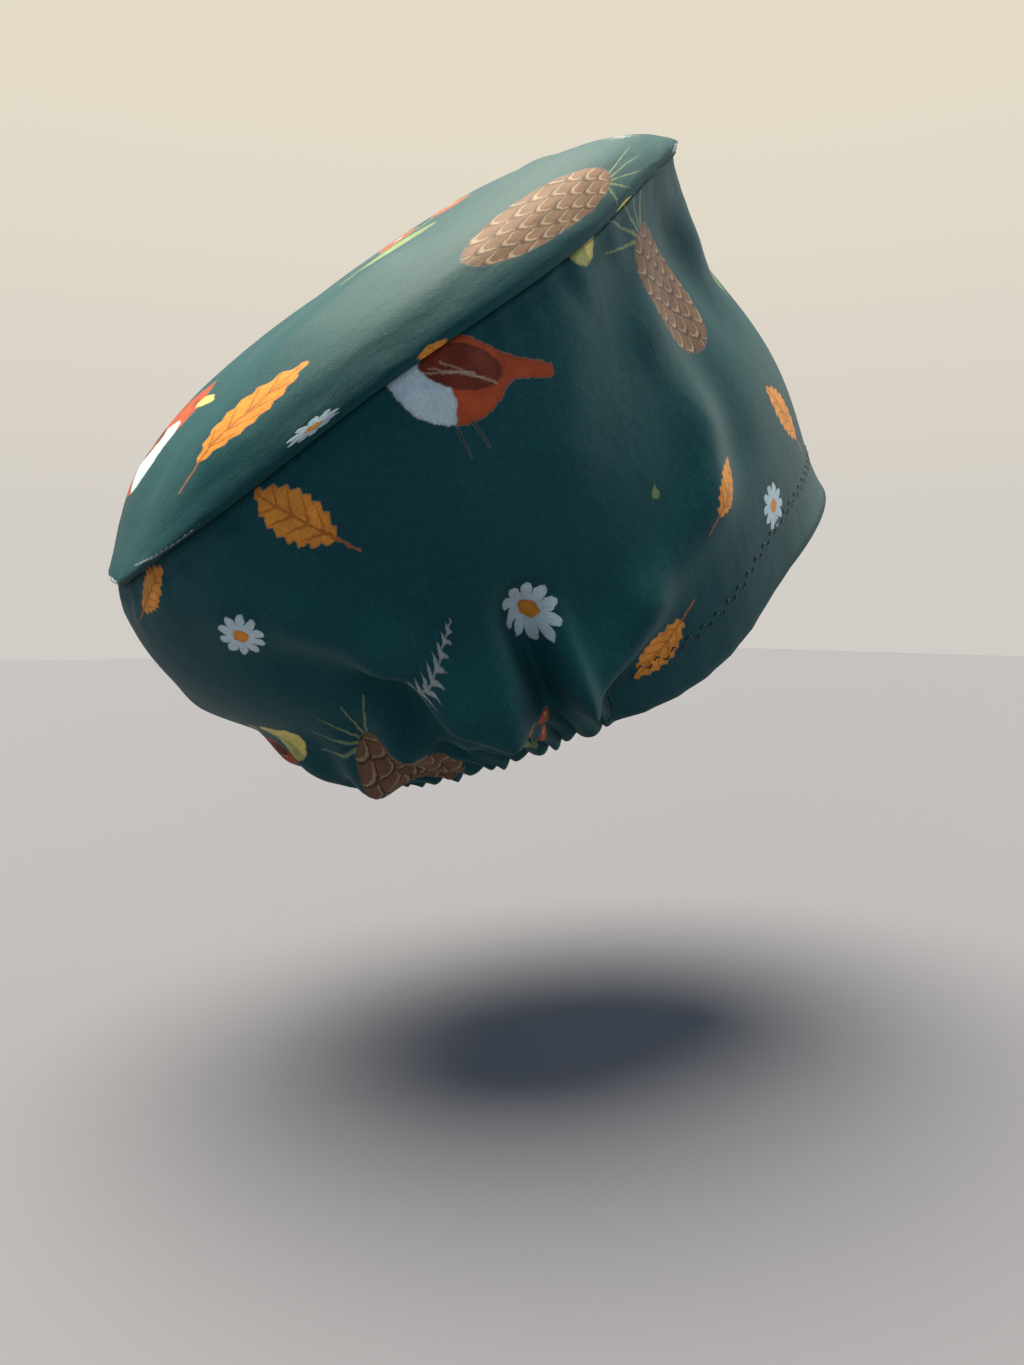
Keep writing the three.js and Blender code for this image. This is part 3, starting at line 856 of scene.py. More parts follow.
class Wiring:
    """Adds nodes to one node tree with few words."""

    def __init__(self, tree: bpy.types.NodeTree) -> None:
        """Works on this node tree."""
        self.tree = tree

    def node(self, kind: str, **settings: object) -> bpy.types.Node:
        """Adds a node of this kind with these properties."""
        made = self.tree.nodes.new(kind)
        for key, value in settings.items():
            setattr(made, key, value)
        return made

    def put(self, socket: Socket, value: object) -> None:
        """Links a socket to this one, or sets this one's value."""
        if isinstance(value, bpy.types.NodeSocket):
            self.tree.links.new(value, socket)
        else:
            socket.default_value = value

    def math(self, operation: str, *values: Value) -> Socket:
        """Adds a Math node.

        Args:
            operation: Blender's name for the sum.
            values: Its inputs, as numbers or sockets.

        Returns:
            The result's socket.
        """
        made = self.node("ShaderNodeMath", operation=operation)
        for socket, value in zip(made.inputs, values):
            self.put(socket, value)
        return made.outputs[0]

    def vector(self, operation: str, *values: object) -> Socket:
        """Adds a Vector Math node.

        Args:
            operation: Blender's name for the sum.
            values: Its inputs, as vectors or sockets.

        Returns:
            The result's socket.
        """
        made = self.node("ShaderNodeVectorMath", operation=operation)
        for socket, value in zip(made.inputs, values):
            self.put(socket, value)
        return made.outputs[0]

    def length(self, first: Socket, second: Socket) -> Socket:
        """Gives the length of a flat vector."""
        squares = [self.math("POWER", part, 2.0) for part in (first, second)]
        return self.math("SQRT", self.math("ADD", *squares))

    def split(self, vector: Socket) -> list[Socket]:
        """Gives a vector's three coordinates."""
        made = self.node("ShaderNodeSeparateXYZ")
        self.put(made.inputs[0], vector)
        return list(made.outputs)

    def wave(self, value: Socket, turns: Value) -> Socket:
        """Gives a sine wave that turns by so many radians for each unit."""
        return self.math("SINE", self.math("MULTIPLY", value, turns))

    def about_one(self, value: Socket, share: float) -> Socket:
        """Turns a value from 0 to 1 into a factor that swings about 1 by this share."""
        return self.math("MULTIPLY_ADD", value, share, 1 - share / 2)

    def effect(self, group: bpy.types.NodeTree, **values: object) -> dict[str, Socket]:
        """Places a shared effect.

        Args:
            group: The effect's node group.
            values: A value or socket for each input, with _ for the name's spaces.

        Returns:
            The effect's outputs by name.
        """
        made = self.node("ShaderNodeGroup", node_tree=group)
        for label, value in values.items():
            self.put(made.inputs[label.replace("_", " ")], value)
        return {output.name: output for output in made.outputs}

    def bump(
        self, height: Socket, strength: float, depth: float, normal: Socket | None = None
    ) -> Socket:
        """Adds a bump.

        Args:
            height: How high the surface stands, in shares of the depth.
            strength: How much of it shows.
            depth: Its depth in millimetres.
            normal: The normal that it lies over, if there is one.

        Returns:
            The new normal.
        """
        made = self.node("ShaderNodeBump")
        made.inputs["Strength"].default_value = strength
        made.inputs["Distance"].default_value = depth * MM
        self.put(made.inputs["Height"], height)
        if normal is not None:
            self.put(made.inputs["Normal"], normal)
        return made.outputs["Normal"]

    def step(self, value: Socket, low: float, high: float) -> Socket:
        """Adds a smooth step.

        Args:
            value: The value that is stepped.
            low: Where the step is 0.
            high: Where it is 1.

        Returns:
            The step's socket.
        """
        made = self.node("ShaderNodeMapRange", interpolation_type="SMOOTHSTEP")
        self.put(made.inputs["Value"], value)
        made.inputs["From Min"].default_value = low
        made.inputs["From Max"].default_value = high
        return made.outputs["Result"]

    def blend(self, share: Value, first: object, second: object) -> Socket:
        """Mixes two colours that are held as vectors.

        Args:
            share: How much of the second shows, from 0 to 1.
            first: The colour below.
            second: The colour above.

        Returns:
            The mixed vector.
        """
        made = self.node("ShaderNodeMix", data_type="VECTOR")
        self.put(made.inputs[0], share)
        self.put(made.inputs[4], first)
        self.put(made.inputs[5], second)
        return made.outputs[1]

    def mix(self, share: Value, first: object, second: object) -> Socket:
        """Mixes two colours.

        Args:
            share: How much of the second shows, from 0 to 1.
            first: The colour below.
            second: The colour above.

        Returns:
            The mixed colour.
        """
        made = self.node("ShaderNodeMix", data_type="RGBA")
        self.put(made.inputs[0], share)
        self.put(made.inputs[6], first)
        self.put(made.inputs[7], second)
        return made.outputs[2]

    def noise(self, place: Socket, scale: float, detail: float = 2.0) -> Socket:
        """Adds soft noise.

        Args:
            place: Where it is read.
            scale: How many of its lumps lie along one unit.
            detail: How many finer layers it has.

        Returns:
            Noise from 0 to 1.
        """
        made = self.node("ShaderNodeTexNoise")
        self.put(made.inputs["Vector"], place)
        made.inputs["Scale"].default_value = scale
        made.inputs["Detail"].default_value = detail
        return made.outputs["Fac"]

    def brighten(self, colour: object, factor: Value) -> Socket:
        """Multiplies a colour by a factor."""
        made = self.node("ShaderNodeVectorMath", operation="SCALE")
        self.put(made.inputs[0], colour if isinstance(colour, Socket) else colour[:3])
        self.put(made.inputs["Scale"], factor)
        return made.outputs[0]


def new_group(
    name: str, inputs: dict[str, str], outputs: dict[str, str]
) -> tuple[bpy.types.NodeTree, Wiring, bpy.types.Node, bpy.types.Node]:
    """Starts a shader node group.

    Args:
        name: The group's name.
        inputs: Socket kind for each input name.
        outputs: Socket kind for each output name.

    Returns:
        The group, its wiring, its input node and its output node.
    """
    group = bpy.data.node_groups.new(name, "ShaderNodeTree")
    for label, kind in inputs.items():
        group.interface.new_socket(label, in_out="INPUT", socket_type=kind)
    for label, kind in outputs.items():
        group.interface.new_socket(label, in_out="OUTPUT", socket_type=kind)
    wiring = Wiring(group)
    return group, wiring, wiring.node("NodeGroupInput"), wiring.node("NodeGroupOutput")


class Motif(Enum):
    """The small pictures of the print."""

    SONGBIRD = "songbird"
    PINE_CONE = "pine_cone"
    LEAF = "leaf"
    BERRIES = "berries"
    DAISY = "daisy"
    PEAR = "pear"
    FERN = "fern"


# What a motif and the whole print take and give.
PRINT_INPUTS = {label: "NodeSocketFloat" for label in ("Across", "Up", "Wash", "Grain")}
PRINT_OUTPUTS = {"Ink": "NodeSocketVector", "Cover": "NodeSocketFloat"}


class Sketch:
    """Paints one motif in a node group, in millimetres about the motif's middle.

    Its sums are kept to plain numbers, because a long chain of vector nodes needs more
    memory than the renderer has for one material.
    """

    fleck_share = 0.5
    rim_width = 1.3
    rim_shade = 0.22

    def __init__(self, motif: Motif) -> None:
        """Starts the motif's group."""
        self.group, self.wire, start, self.end = new_group(
            f"print_{motif.value}", PRINT_INPUTS, PRINT_OUTPUTS
        )
        self.across = start.outputs["Across"]
        self.up = start.outputs["Up"]
        self.wash = start.outputs["Wash"]
        self.grain = start.outputs["Grain"]
        self.ink: object = (0.5, 0.5, 0.5)
        self.cover: Value = 0.0

    def local(self, x: float, y: float, angle: float = 0.0) -> tuple[Socket, Socket]:
        """Gives coordinates about a point.

        Args:
            x: The point across the motif.
            y: The point up the motif.
            angle: The coordinates' turn in degrees.

        Returns:
            The coordinates along and across the turned direction.
        """
        turn = math.radians(angle)
        cos, sin = math.cos(turn), math.sin(turn)
        w = self.wire
        u = w.math("MULTIPLY_ADD", self.across, cos, -x * cos - y * sin)
        u = w.math("MULTIPLY_ADD", self.up, sin, u)
        v = w.math("MULTIPLY_ADD", self.across, -sin, x * sin - y * cos)
        v = w.math("MULTIPLY_ADD", self.up, cos, v)
        return u, v

    def oval(
        self, x: float, y: float, wide: float, tall: float, angle: float = 0.0
    ) -> Socket:
        """Gives the signed distance to an oval.

        Args:
            x: Its middle.
            y: Its middle.
            wide: Half its width.
            tall: Half its height.
            angle: Its turn in degrees.

        Returns:
            Negative inside and positive outside, in millimetres.
        """
        u, v = self.local(x, y, angle)
        w = self.wire
        far = w.length(w.math("DIVIDE", u, wide), w.math("DIVIDE", v, tall))
        return w.math("MULTIPLY", w.math("SUBTRACT", far, 1.0), min(wide, tall))

    def lens(
        self, x: float, y: float, long: float, half: float, angle: float = 0.0
    ) -> Socket:
        """Gives the signed distance to a pointed leaf shape.

        Args:
            x: Its middle.
            y: Its middle.
            long: Its length, along its angle.
            half: Half its width.
            angle: Its turn in degrees.

        Returns:
            Negative inside and positive outside, in millimetres.
        """
        u, v = self.local(x, y, angle)
        w = self.wire
        radius = (long * long / 4 + half * half) / (2 * half)
        high = w.math("ADD", w.math("ABSOLUTE", v), radius - half)
        return w.math("SUBTRACT", w.length(u, high), radius)

    def stroke(
        self, x: float, y: float, to_x: float, to_y: float, width: float, end: float
    ) -> Socket:
        """Gives the signed distance to a line.

        Args:
            x: Where it starts.
            y: Where it starts.
            to_x: Where it ends.
            to_y: Where it ends.
            width: Its width where it starts.
            end: Its width where it ends.

        Returns:
            Negative inside and positive outside, in millimetres.
        """
        length = math.hypot(to_x - x, to_y - y)
        u, v = self.local(x, y, math.degrees(math.atan2(to_y - y, to_x - x)))
        w = self.wire
        share = w.math("MINIMUM", w.math("DIVIDE", u, length), 1.0)
        share = w.math("MAXIMUM", share, 0.0)
        past = w.math("SUBTRACT", u, w.math("MULTIPLY", share, length))
        wide = w.math("MULTIPLY_ADD", share, (end - width) / 2, width / 2)
        return w.math("SUBTRACT", w.length(past, v), wide)

    def joined(self, first: Socket, second: Socket, blend: float = 0.0) -> Socket:
        """Joins two shapes.

        Args:
            first: A shape's signed distance.
            second: The other's.
            blend: How soft the neck between them is, in millimetres.

        Returns:
            The joined shape's signed distance.
        """
        if blend:
            return self.wire.math("SMOOTH_MIN", first, second, blend)
        return self.wire.math("MINIMUM", first, second)

    def both(self, first: Socket, second: Socket) -> Socket:
        """Keeps what two shapes share."""
        return self.wire.math("MAXIMUM", first, second)

    def paint(
        self,
        shape: Socket,
        colour: tuple[float, float, float, float],
        edge: float = 0.35,
        wash: float = 0.5,
        strength: float = 1.0,
    ) -> None:
        """Lays a washed colour over what is painted so far.

        Args:
            shape: The shape's signed distance.
            colour: Its linear colour.
            edge: How soft its edge is, in millimetres.
            wash: How much the wash changes over the shape.
            strength: How much of it covers.
        """
        w = self.wire
        inside = w.step(shape, edge, -edge)
        if strength != 1.0:
            inside = w.math("MULTIPLY", inside, strength)
        tone = w.about_one(self.wash, 2 * wash)
        fleck = w.about_one(self.grain, self.fleck_share)
        near_rim = w.step(shape, -self.rim_width, 0.0)
        rim = w.math("MULTIPLY_ADD", near_rim, -self.rim_shade, 1.0)
        shade = w.math("MULTIPLY", w.math("MULTIPLY", tone, fleck), rim)
        washed = w.brighten(colour, shade)
        self.ink = w.blend(inside, self.ink, washed)
        self.cover = w.math("MAXIMUM", self.cover, inside)

    def done(self) -> bpy.types.NodeTree:
        """Joins the painted ink and cover to the group's outputs."""
        self.wire.put(self.end.inputs["Ink"], self.ink)
        self.wire.put(self.end.inputs["Cover"], self.cover)
        return self.group


@dataclass(frozen=True)
class PrintColours:
    """The print's inks."""

    rust: tuple = linear(170, 72, 36)
    deep_rust: tuple = linear(112, 44, 26)
    pale: tuple = linear(188, 208, 216)
    brown: tuple = linear(118, 84, 62)
    dark: tuple = linear(40, 34, 34)
    orange: tuple = linear(222, 142, 52)
    amber: tuple = linear(176, 92, 34)
    yellow: tuple = linear(214, 196, 112)
    green: tuple = linear(120, 142, 92)
    cream: tuple = linear(224, 210, 182)
    grey: tuple = linear(150, 158, 160)


class PrintMotifs:
    """Draws every motif once, as a node group."""

    def __init__(self, inks: PrintColours) -> None:
        """Draws the motifs in these inks."""
        self.inks = inks
        self.groups = {
            Motif.SONGBIRD: self.songbird(),
            Motif.PINE_CONE: self.pine_cone(),
            Motif.LEAF: self.leaf(),
            Motif.BERRIES: self.berries(),
            Motif.DAISY: self.daisy(),
            Motif.PEAR: self.pear(),
            Motif.FERN: self.fern(),
        }

    def songbird(self) -> bpy.types.NodeTree:
        """Draws a round-bodied bird with a pale breast, about 50 mm long."""
        s, ink = Sketch(Motif.SONGBIRD), self.inks
        s.paint(s.stroke(-2, -12, -4, -20, 0.9, 0.6), ink.dark, wash=0.1)
        s.paint(s.stroke(3, -12, 2, -20, 0.9, 0.6), ink.dark, wash=0.1)
        tail = s.stroke(-12, -1, -27, -8, 7, 4)
        body = s.oval(0, 0, 16, 11.5, 24)
        head = s.oval(12.5, 12.5, 7.6, 7.2, 0)
        whole = s.joined(s.joined(body, head, 6), tail, 5)
        s.paint(whole, ink.rust)
        s.paint(s.both(s.oval(9, -1.5, 8.5, 12, -12), whole), ink.pale, wash=0.2)
        s.paint(s.oval(-4, 2, 12, 5.6, 30), ink.deep_rust)
        for shift in (0.0, 3.4, 6.8):
            line = s.stroke(-12 + shift, -5.5 + 0.8 * shift, 1 + shift, 5, 0.5, 0.3)
            s.paint(line, ink.cream, wash=0.2, strength=0.5)
        s.paint(s.lens(21, 12, 7.5, 1.5, -8), ink.yellow, wash=0.2)
        s.paint(s.oval(14.8, 14, 1.15, 1.15), ink.dark, wash=0.1)
        return s.done()

    def pine_cone(self) -> bpy.types.NodeTree:
        """Draws a hanging cone with rows of scales, about 56 mm tall."""
        s, ink = Sketch(Motif.PINE_CONE), self.inks
        for x, y in ((-17, 31), (-9, 35), (12, 36), (19, 30), (2, 38)):
            s.paint(s.stroke(0, 19, x, y, 1.3, 0.5), ink.green, wash=0.3)
        cone = s.joined(s.oval(0, -2, 15, 21), s.oval(0, 12, 11, 10), 5)
        s.paint(cone, ink.brown)
        w = s.wire
        u, v = s.local(0, 0)
        row = w.math("FLOOR", w.math("DIVIDE", v, 5.2))
        odd = w.math("MULTIPLY", w.math("MODULO", row, 2.0), 3.6)
        x = w.math("WRAP", w.math("ADD", u, odd), 3.6, -3.6)
        y = w.math("SUBTRACT", v, w.math("MULTIPLY", row, 5.2))
        across = w.math("POWER", w.math("DIVIDE", x, 3.5), 2.0)
        curve = w.math("SUBTRACT", y, w.math("MULTIPLY", across, 4.4))
        line = w.math("SUBTRACT", w.math("ABSOLUTE", w.math("SUBTRACT", curve, 0.9)), 0.5)
        s.paint(s.both(line, cone), ink.dark, strength=0.65)
        light = w.math("SUBTRACT", w.math("ABSOLUTE", w.math("SUBTRACT", curve, 2.2)), 0.5)
        s.paint(s.both(light, cone), ink.cream, strength=0.35)
        return s.done()

    def leaf(self) -> bpy.types.NodeTree:
        """Draws a toothed leaf with its veins, about 30 mm long."""
        s, ink = Sketch(Motif.LEAF), self.inks
        s.paint(s.stroke(-19, 0, -11, 0, 0.8, 1.1), ink.amber)
        w = s.wire
        u, _ = s.local(0, 0)
        teeth = w.math("PINGPONG", u, 1.7)
        blade = w.math("ADD", s.lens(1, 0, 28, 7.2), w.math("MULTIPLY", teeth, 0.75))
        s.paint(blade, ink.orange)
        vein = s.stroke(-13, 0, 13, 0, 1.0, 0.4)
        for x in (-8, -3.2, 1.6, 6.4):
            vein = s.joined(vein, s.stroke(x, 0, x + 4.6, 4.8, 0.7, 0.3))
            vein = s.joined(vein, s.stroke(x, 0, x + 4.6, -4.8, 0.7, 0.3))
        s.paint(s.both(vein, blade), ink.amber, strength=0.8)
        return s.done()

    def berries(self) -> bpy.types.NodeTree:
        """Draws a sprig of round berries, about 28 mm tall."""
        s, ink = Sketch(Motif.BERRIES), self.inks
        places = ((-6.5, 6, 3.1), (0.5, 10.5, 3.3), (7, 5, 3.0), (-4.5, -2.5, 2.7))
        for x, y, _ in places:
            s.paint(s.stroke(0, -13, x, y, 1.1, 0.7), ink.green, wash=0.3)
        s.paint(s.lens(6, -7, 13, 2.8, 35), ink.green)
        for x, y, radius in places:
            s.paint(s.oval(x, y, radius, radius), ink.rust)
            glint = s.oval(x - 0.9, y + 1.0, 0.8, 0.6, 30)
            s.paint(glint, ink.cream, wash=0.1, strength=0.7)
        return s.done()

    def daisy(self) -> bpy.types.NodeTree:
        """Draws an open flower with pale petals, about 20 mm across."""
        s, ink = Sketch(Motif.DAISY), self.inks
        w = s.wire
        u, v = s.local(0, 0)
        angle = w.math("ARCTAN2", v, u)
        lobes = w.math("ABSOLUTE", w.math("COSINE", w.math("MULTIPLY", angle, 5.0)))
        edge = w.math("MULTIPLY_ADD", w.math("POWER", lobes, 0.5), 5.2, 5.0)
        s.paint(w.math("SUBTRACT", w.length(u, v), edge), ink.pale, wash=0.2)
        s.paint(s.oval(0, 0, 3.2, 3.0), ink.orange)
        return s.done()

    def pear(self) -> bpy.types.NodeTree:
        """Draws a small pear with a leaf, about 24 mm tall."""
        s, ink = Sketch(Motif.PEAR), self.inks
        s.paint(s.stroke(0, 7, 1.5, 13, 0.9, 1.2), ink.brown, wash=0.2)
        s.paint(s.lens(6, 11.5, 9.5, 2.2, 12), ink.green)
        body = s.joined(s.oval(0, -3.5, 6.4, 6.6), s.oval(0.4, 4, 3.3, 4.6), 4)
        s.paint(body, ink.yellow)
        s.paint(s.both(s.oval(4.5, -4.5, 4.4, 7, 10), body), ink.green, strength=0.6)
        return s.done()

    def fern(self) -> bpy.types.NodeTree:
        """Draws a curled frond with paired leaflets, about 44 mm tall."""
        s, ink = Sketch(Motif.FERN), self.inks
        w = s.wire
        u, v = s.local(0, 0)
        bend = w.math("MULTIPLY", w.math("POWER", w.math("DIVIDE", v, 22.0), 2.0), 5.0)
        x = w.math("ABSOLUTE", w.math("SUBTRACT", u, bend))
        taper = w.math("MULTIPLY_ADD", v, -0.19, 5.6)
        slant = w.math("MULTIPLY_ADD", x, -0.55, v)
        saw = w.math("PINGPONG", slant, 1.75)
        leaflet = w.math("MULTIPLY_ADD", w.math("DIVIDE", x, taper), 1.25, saw)
        leaves = w.math("SUBTRACT", leaflet, 1.3)
        stem = w.math("SUBTRACT", x, 0.45)
        length = w.math("SUBTRACT", w.math("ABSOLUTE", v), 21.0)
        s.paint(s.both(s.joined(leaves, stem), length), ink.grey, wash=0.35)
        return s.done()


@dataclass(frozen=True)
class Placing:
    """Where one motif sits in the print's repeat, as shares of the repeat."""

    motif: Motif
    across: float
    up: float
    angle: float
    scale: float = 1.0


PRINT_LAYOUT = (
    Placing(Motif.SONGBIRD, 0.24, 0.30, 8, 1.0),
    Placing(Motif.PINE_CONE, 0.72, 0.66, -16, 0.95),
    Placing(Motif.LEAF, 0.55, 0.27, 62, 1.0),
    Placing(Motif.LEAF, 0.10, 0.64, -28, 0.85),
    Placing(Motif.LEAF, 0.88, 0.32, 160, 0.7),
    Placing(Motif.BERRIES, 0.42, 0.62, 14, 1.0),
    Placing(Motif.DAISY, 0.30, 0.86, 0, 0.85),
    Placing(Motif.DAISY, 0.74, 0.16, 20, 0.7),
    Placing(Motif.PEAR, 0.93, 0.88, -30, 0.95),
    Placing(Motif.FERN, 0.52, 0.90, 74, 0.75),
)


class ClothPrint:
    """Repeats the motifs over the cloth, in a half-drop layout."""

    def __init__(self, repeat: tuple[float, float], inks: PrintColours) -> None:
        """Builds the print's group.

        Args:
            repeat: Width and height of one repeat in millimetres.
            inks: The motifs' colours.
        """
        motifs = PrintMotifs(inks)
        self.group, w, start, end = new_group("cloth_print", PRINT_INPUTS, PRINT_OUTPUTS)
        wide, tall = repeat
        column = w.math("FLOOR", w.math("DIVIDE", start.outputs["Across"], wide))
        half = w.math("MULTIPLY", w.math("FLOORED_MODULO", column, 2.0), tall / 2)
        x = w.math("FLOORED_MODULO", start.outputs["Across"], wide)
        y = w.math("ADD", start.outputs["Up"], half)
        ink: object = (0.0, 0.0, 0.0)
        cover: Value = 0.0
        for place in PRINT_LAYOUT:
            from_x = w.math("SUBTRACT", x, place.across * wide)
            from_y = w.math("SUBTRACT", y, place.up * tall)
            near_x = w.math("WRAP", from_x, wide / 2, -wide / 2)
            near_y = w.math("WRAP", from_y, tall / 2, -tall / 2)
            turn = math.radians(place.angle)
            cos, sin = math.cos(turn) / place.scale, math.sin(turn) / place.scale
            u = w.math("MULTIPLY_ADD", near_x, cos, w.math("MULTIPLY", near_y, sin))
            v = w.math("MULTIPLY_ADD", near_y, cos, w.math("MULTIPLY", near_x, -sin))
            motif = w.effect(
                motifs.groups[place.motif],
                Across=u,
                Up=v,
                Wash=start.outputs["Wash"],
                Grain=start.outputs["Grain"],
            )
            ink = w.blend(motif["Cover"], ink, motif["Ink"])
            cover = w.math("MAXIMUM", cover, motif["Cover"])
        w.put(end.inputs["Ink"], ink)
        w.put(end.inputs["Cover"], cover)


def weave_group() -> bpy.types.NodeTree:
    """Builds the plain weave: a height for bump and a fleck for colour.

    Returns:
        The group, which takes a place on the cloth in millimetres and a thread pitch.
    """
    group, w, start, end = new_group(
        "plain_weave",
        {"Cloth Place": "NodeSocketVector", "Thread Pitch": "NodeSocketFloat"},
        {"Height": "NodeSocketFloat", "Fleck": "NodeSocketFloat"},
    )
    place = start.outputs["Cloth Place"]
    thin, long = 2.4, 0.35
    warp = w.noise(w.vector("MULTIPLY", place, (thin, long, 1.0)), 1.0)
    weft = w.noise(w.vector("MULTIPLY", place, (long, thin, 1.0)), 1.0)
    slubs = w.math("ADD", warp, weft)
    across, up, _ = w.split(place)
    turns = w.math("DIVIDE", 2 * math.pi, start.outputs["Thread Pitch"])
    threads = w.math("MULTIPLY", w.wave(across, turns), w.wave(up, turns))
    thread_share = 0.35
    height = w.math("MULTIPLY_ADD", threads, thread_share, slubs)
    w.put(end.inputs["Height"], height)
    w.put(end.inputs["Fleck"], w.math("MULTIPLY", slubs, 0.5))
    return group


def crumple_group() -> bpy.types.NodeTree:
    """Builds the faint creases that handling leaves in cloth, as a bump height."""
    group, w, start, end = new_group(
        "soft_crumple",
        {"Cloth Place": "NodeSocketVector"},
        {"Height": "NodeSocketFloat"},
    )
    place = start.outputs["Cloth Place"]
    broad = w.noise(place, 0.035, 3.0)
    drawn_out = w.vector("MULTIPLY", place, (0.05, 0.028, 1.0))
    lines = w.noise(drawn_out, 1.0, 3.0)
    from_line = w.math("ABSOLUTE", w.math("SUBTRACT", lines, 0.5))
    line_depth = 1.2
    height = w.math("MULTIPLY_ADD", from_line, -line_depth, broad)
    w.put(end.inputs["Height"], height)
    return group


@dataclass(frozen=True)
class PrintedCotton:
    """Matt printed plain-weave cotton."""

    ground: tuple = linear(2, 65, 72)
    lit_fleck: tuple = linear(16, 104, 106)
    wrong_ground: tuple = linear(92, 132, 124)
    fleck_range: tuple[float, float] = (0.46, 0.72)
    fleck_share: float = 0.2
    cloud_share: float = 0.3
    cloud_scale: float = 0.02
    wash_scale: float = 0.16
    grain_scale: float = 1.1
    ink_cover: float = 0.97
    wrong_ink_cover: float = 0.3
    thread_shade: float = 0.24
    roughness: float = 0.6
    roughness_swing: float = 0.12
    specular: float = 0.14
    sheen: float = 0.04
    sheen_roughness: float = 0.55
    sheen_tint: tuple = linear(244, 232, 206)
    thread_pitch: float = 0.55
    thread_bump: float = 0.5
    thread_depth: float = 0.12
    crease_bump: float = 0.3
    crease_depth: float = 2.2
    print_wobble: float = 1.8
    wobble_scale: float = 0.45
    wobble_apart: tuple[float, float, float] = (57.0, 31.0, 0.0)

    def material(
        self, name: str, groups: SharedEffects, wrong_side: bool = False
    ) -> bpy.types.Material:
        """Makes the cloth's material.

        Args:
            name: The material's name.
            groups: The shader groups that the finishes share.
            wrong_side: Whether it is the paler inside of the cloth.

        Returns:
            The material.
        """
        made, w, shader = new_material(name)
        place = cloth_place(w)
        weave = w.effect(groups.weave, Cloth_Place=place, Thread_Pitch=self.thread_pitch)
        crumple = w.effect(groups.crumple, Cloth_Place=place)
        across, up, _ = w.split(place)
        printed = w.effect(
            groups.print,
            Across=self.wobble(w, across, place),
            Up=self.wobble(w, up, w.vector("ADD", place, self.wobble_apart)),
            Wash=w.noise(place, self.wash_scale, 4.0),
            Grain=w.noise(place, self.grain_scale, 3.0),
        )
        fleck = w.step(weave["Fleck"], *self.fleck_range)
        ground = self.wrong_ground if wrong_side else self.ground
        base = w.mix(w.math("MULTIPLY", fleck, self.fleck_share), ground, self.lit_fleck)
        cloud = w.noise(place, self.cloud_scale, 3.0)
        base = w.brighten(base, w.about_one(cloud, self.cloud_share))
        cover = self.wrong_ink_cover if wrong_side else self.ink_cover
        shown = w.math("MULTIPLY", printed["Cover"], cover)
        inked = w.mix(shown, base, printed["Ink"])
        thread = w.about_one(fleck, self.thread_shade)
        w.put(shader.inputs["Base Color"], w.brighten(inked, thread))
        swing = self.roughness_swing
        rough = w.math("MULTIPLY_ADD", weave["Fleck"], swing, self.roughness - swing / 2)
        w.put(shader.inputs["Roughness"], rough)
        shader.inputs["Specular IOR Level"].default_value = self.specular
        shader.inputs["Sheen Weight"].default_value = self.sheen
        shader.inputs["Sheen Roughness"].default_value = self.sheen_roughness
        shader.inputs["Sheen Tint"].default_value = self.sheen_tint
        threads = w.bump(weave["Height"], self.thread_bump, self.thread_depth)
        creases = w.bump(crumple["Height"], self.crease_bump, self.crease_depth, threads)
        w.put(shader.inputs["Normal"], creases)
        return made

    def wobble(self, w: Wiring, value: Socket, place: Socket) -> Socket:
        """Shakes one coordinate of the print a little, as a printed edge wanders."""
        shake = w.math("SUBTRACT", w.noise(place, self.wobble_scale, 3.0), 0.5)
        return w.math("MULTIPLY_ADD", shake, self.print_wobble, value)


@dataclass(frozen=True)
class WovenElastic:
    """White ribbed elastic tape."""

    ground: tuple = linear(226, 223, 214)
    rib_pitch: float = 1.1
    rib_depth: float = 0.3
    fuzz: float = 0.5
    tone: float = 0.92
    tone_swing: float = 0.06
    roughness: float = 0.7

    def material(self, name: str) -> bpy.types.Material:
        """Makes the elastic's material."""
        made, w, shader = new_material(name)
        place = cloth_place(w)
        _, up, _ = w.split(place)
        ribs = w.wave(up, 2 * math.pi / self.rib_pitch)
        soft = w.math("MULTIPLY_ADD", w.noise(place, 1.5, 3.0), self.fuzz, ribs)
        tone = w.math("MULTIPLY_ADD", soft, self.tone_swing, self.tone)
        w.put(shader.inputs["Base Color"], w.brighten(self.ground, tone))
        shader.inputs["Roughness"].default_value = self.roughness
        w.put(shader.inputs["Normal"], w.bump(soft, 1.0, self.rib_depth))
        return made


@dataclass(frozen=True)
class SewingThread:
    """Dark twisted polyester thread."""

    ground: tuple = linear(6, 18, 20)
    twist_pitch: float = 0.5
    tone: float = 0.9
    tone_swing: float = 0.18
    roughness: float = 0.45

    def material(self, name: str) -> bpy.types.Material:
        """Makes the thread's material."""
        made, w, shader = new_material(name)
        across, up, _ = w.split(cloth_place(w))
        twist = w.wave(w.math("ADD", across, up), 2 * math.pi / self.twist_pitch)
        tone = w.math("MULTIPLY_ADD", twist, self.tone_swing, self.tone)
        w.put(shader.inputs["Base Color"], w.brighten(self.ground, tone))
        shader.inputs["Roughness"].default_value = self.roughness
        return made


def new_material(
    name: str,
) -> tuple[bpy.types.Material, Wiring, bpy.types.Node]:
    """Starts a material.

    Args:
        name: The material's name.

    Returns:
        The material, its wiring and its shader.
    """
    made = bpy.data.materials.new(name)
    made.use_nodes = True
    wiring = Wiring(made.node_tree)
    return made, wiring, made.node_tree.nodes["Principled BSDF"]


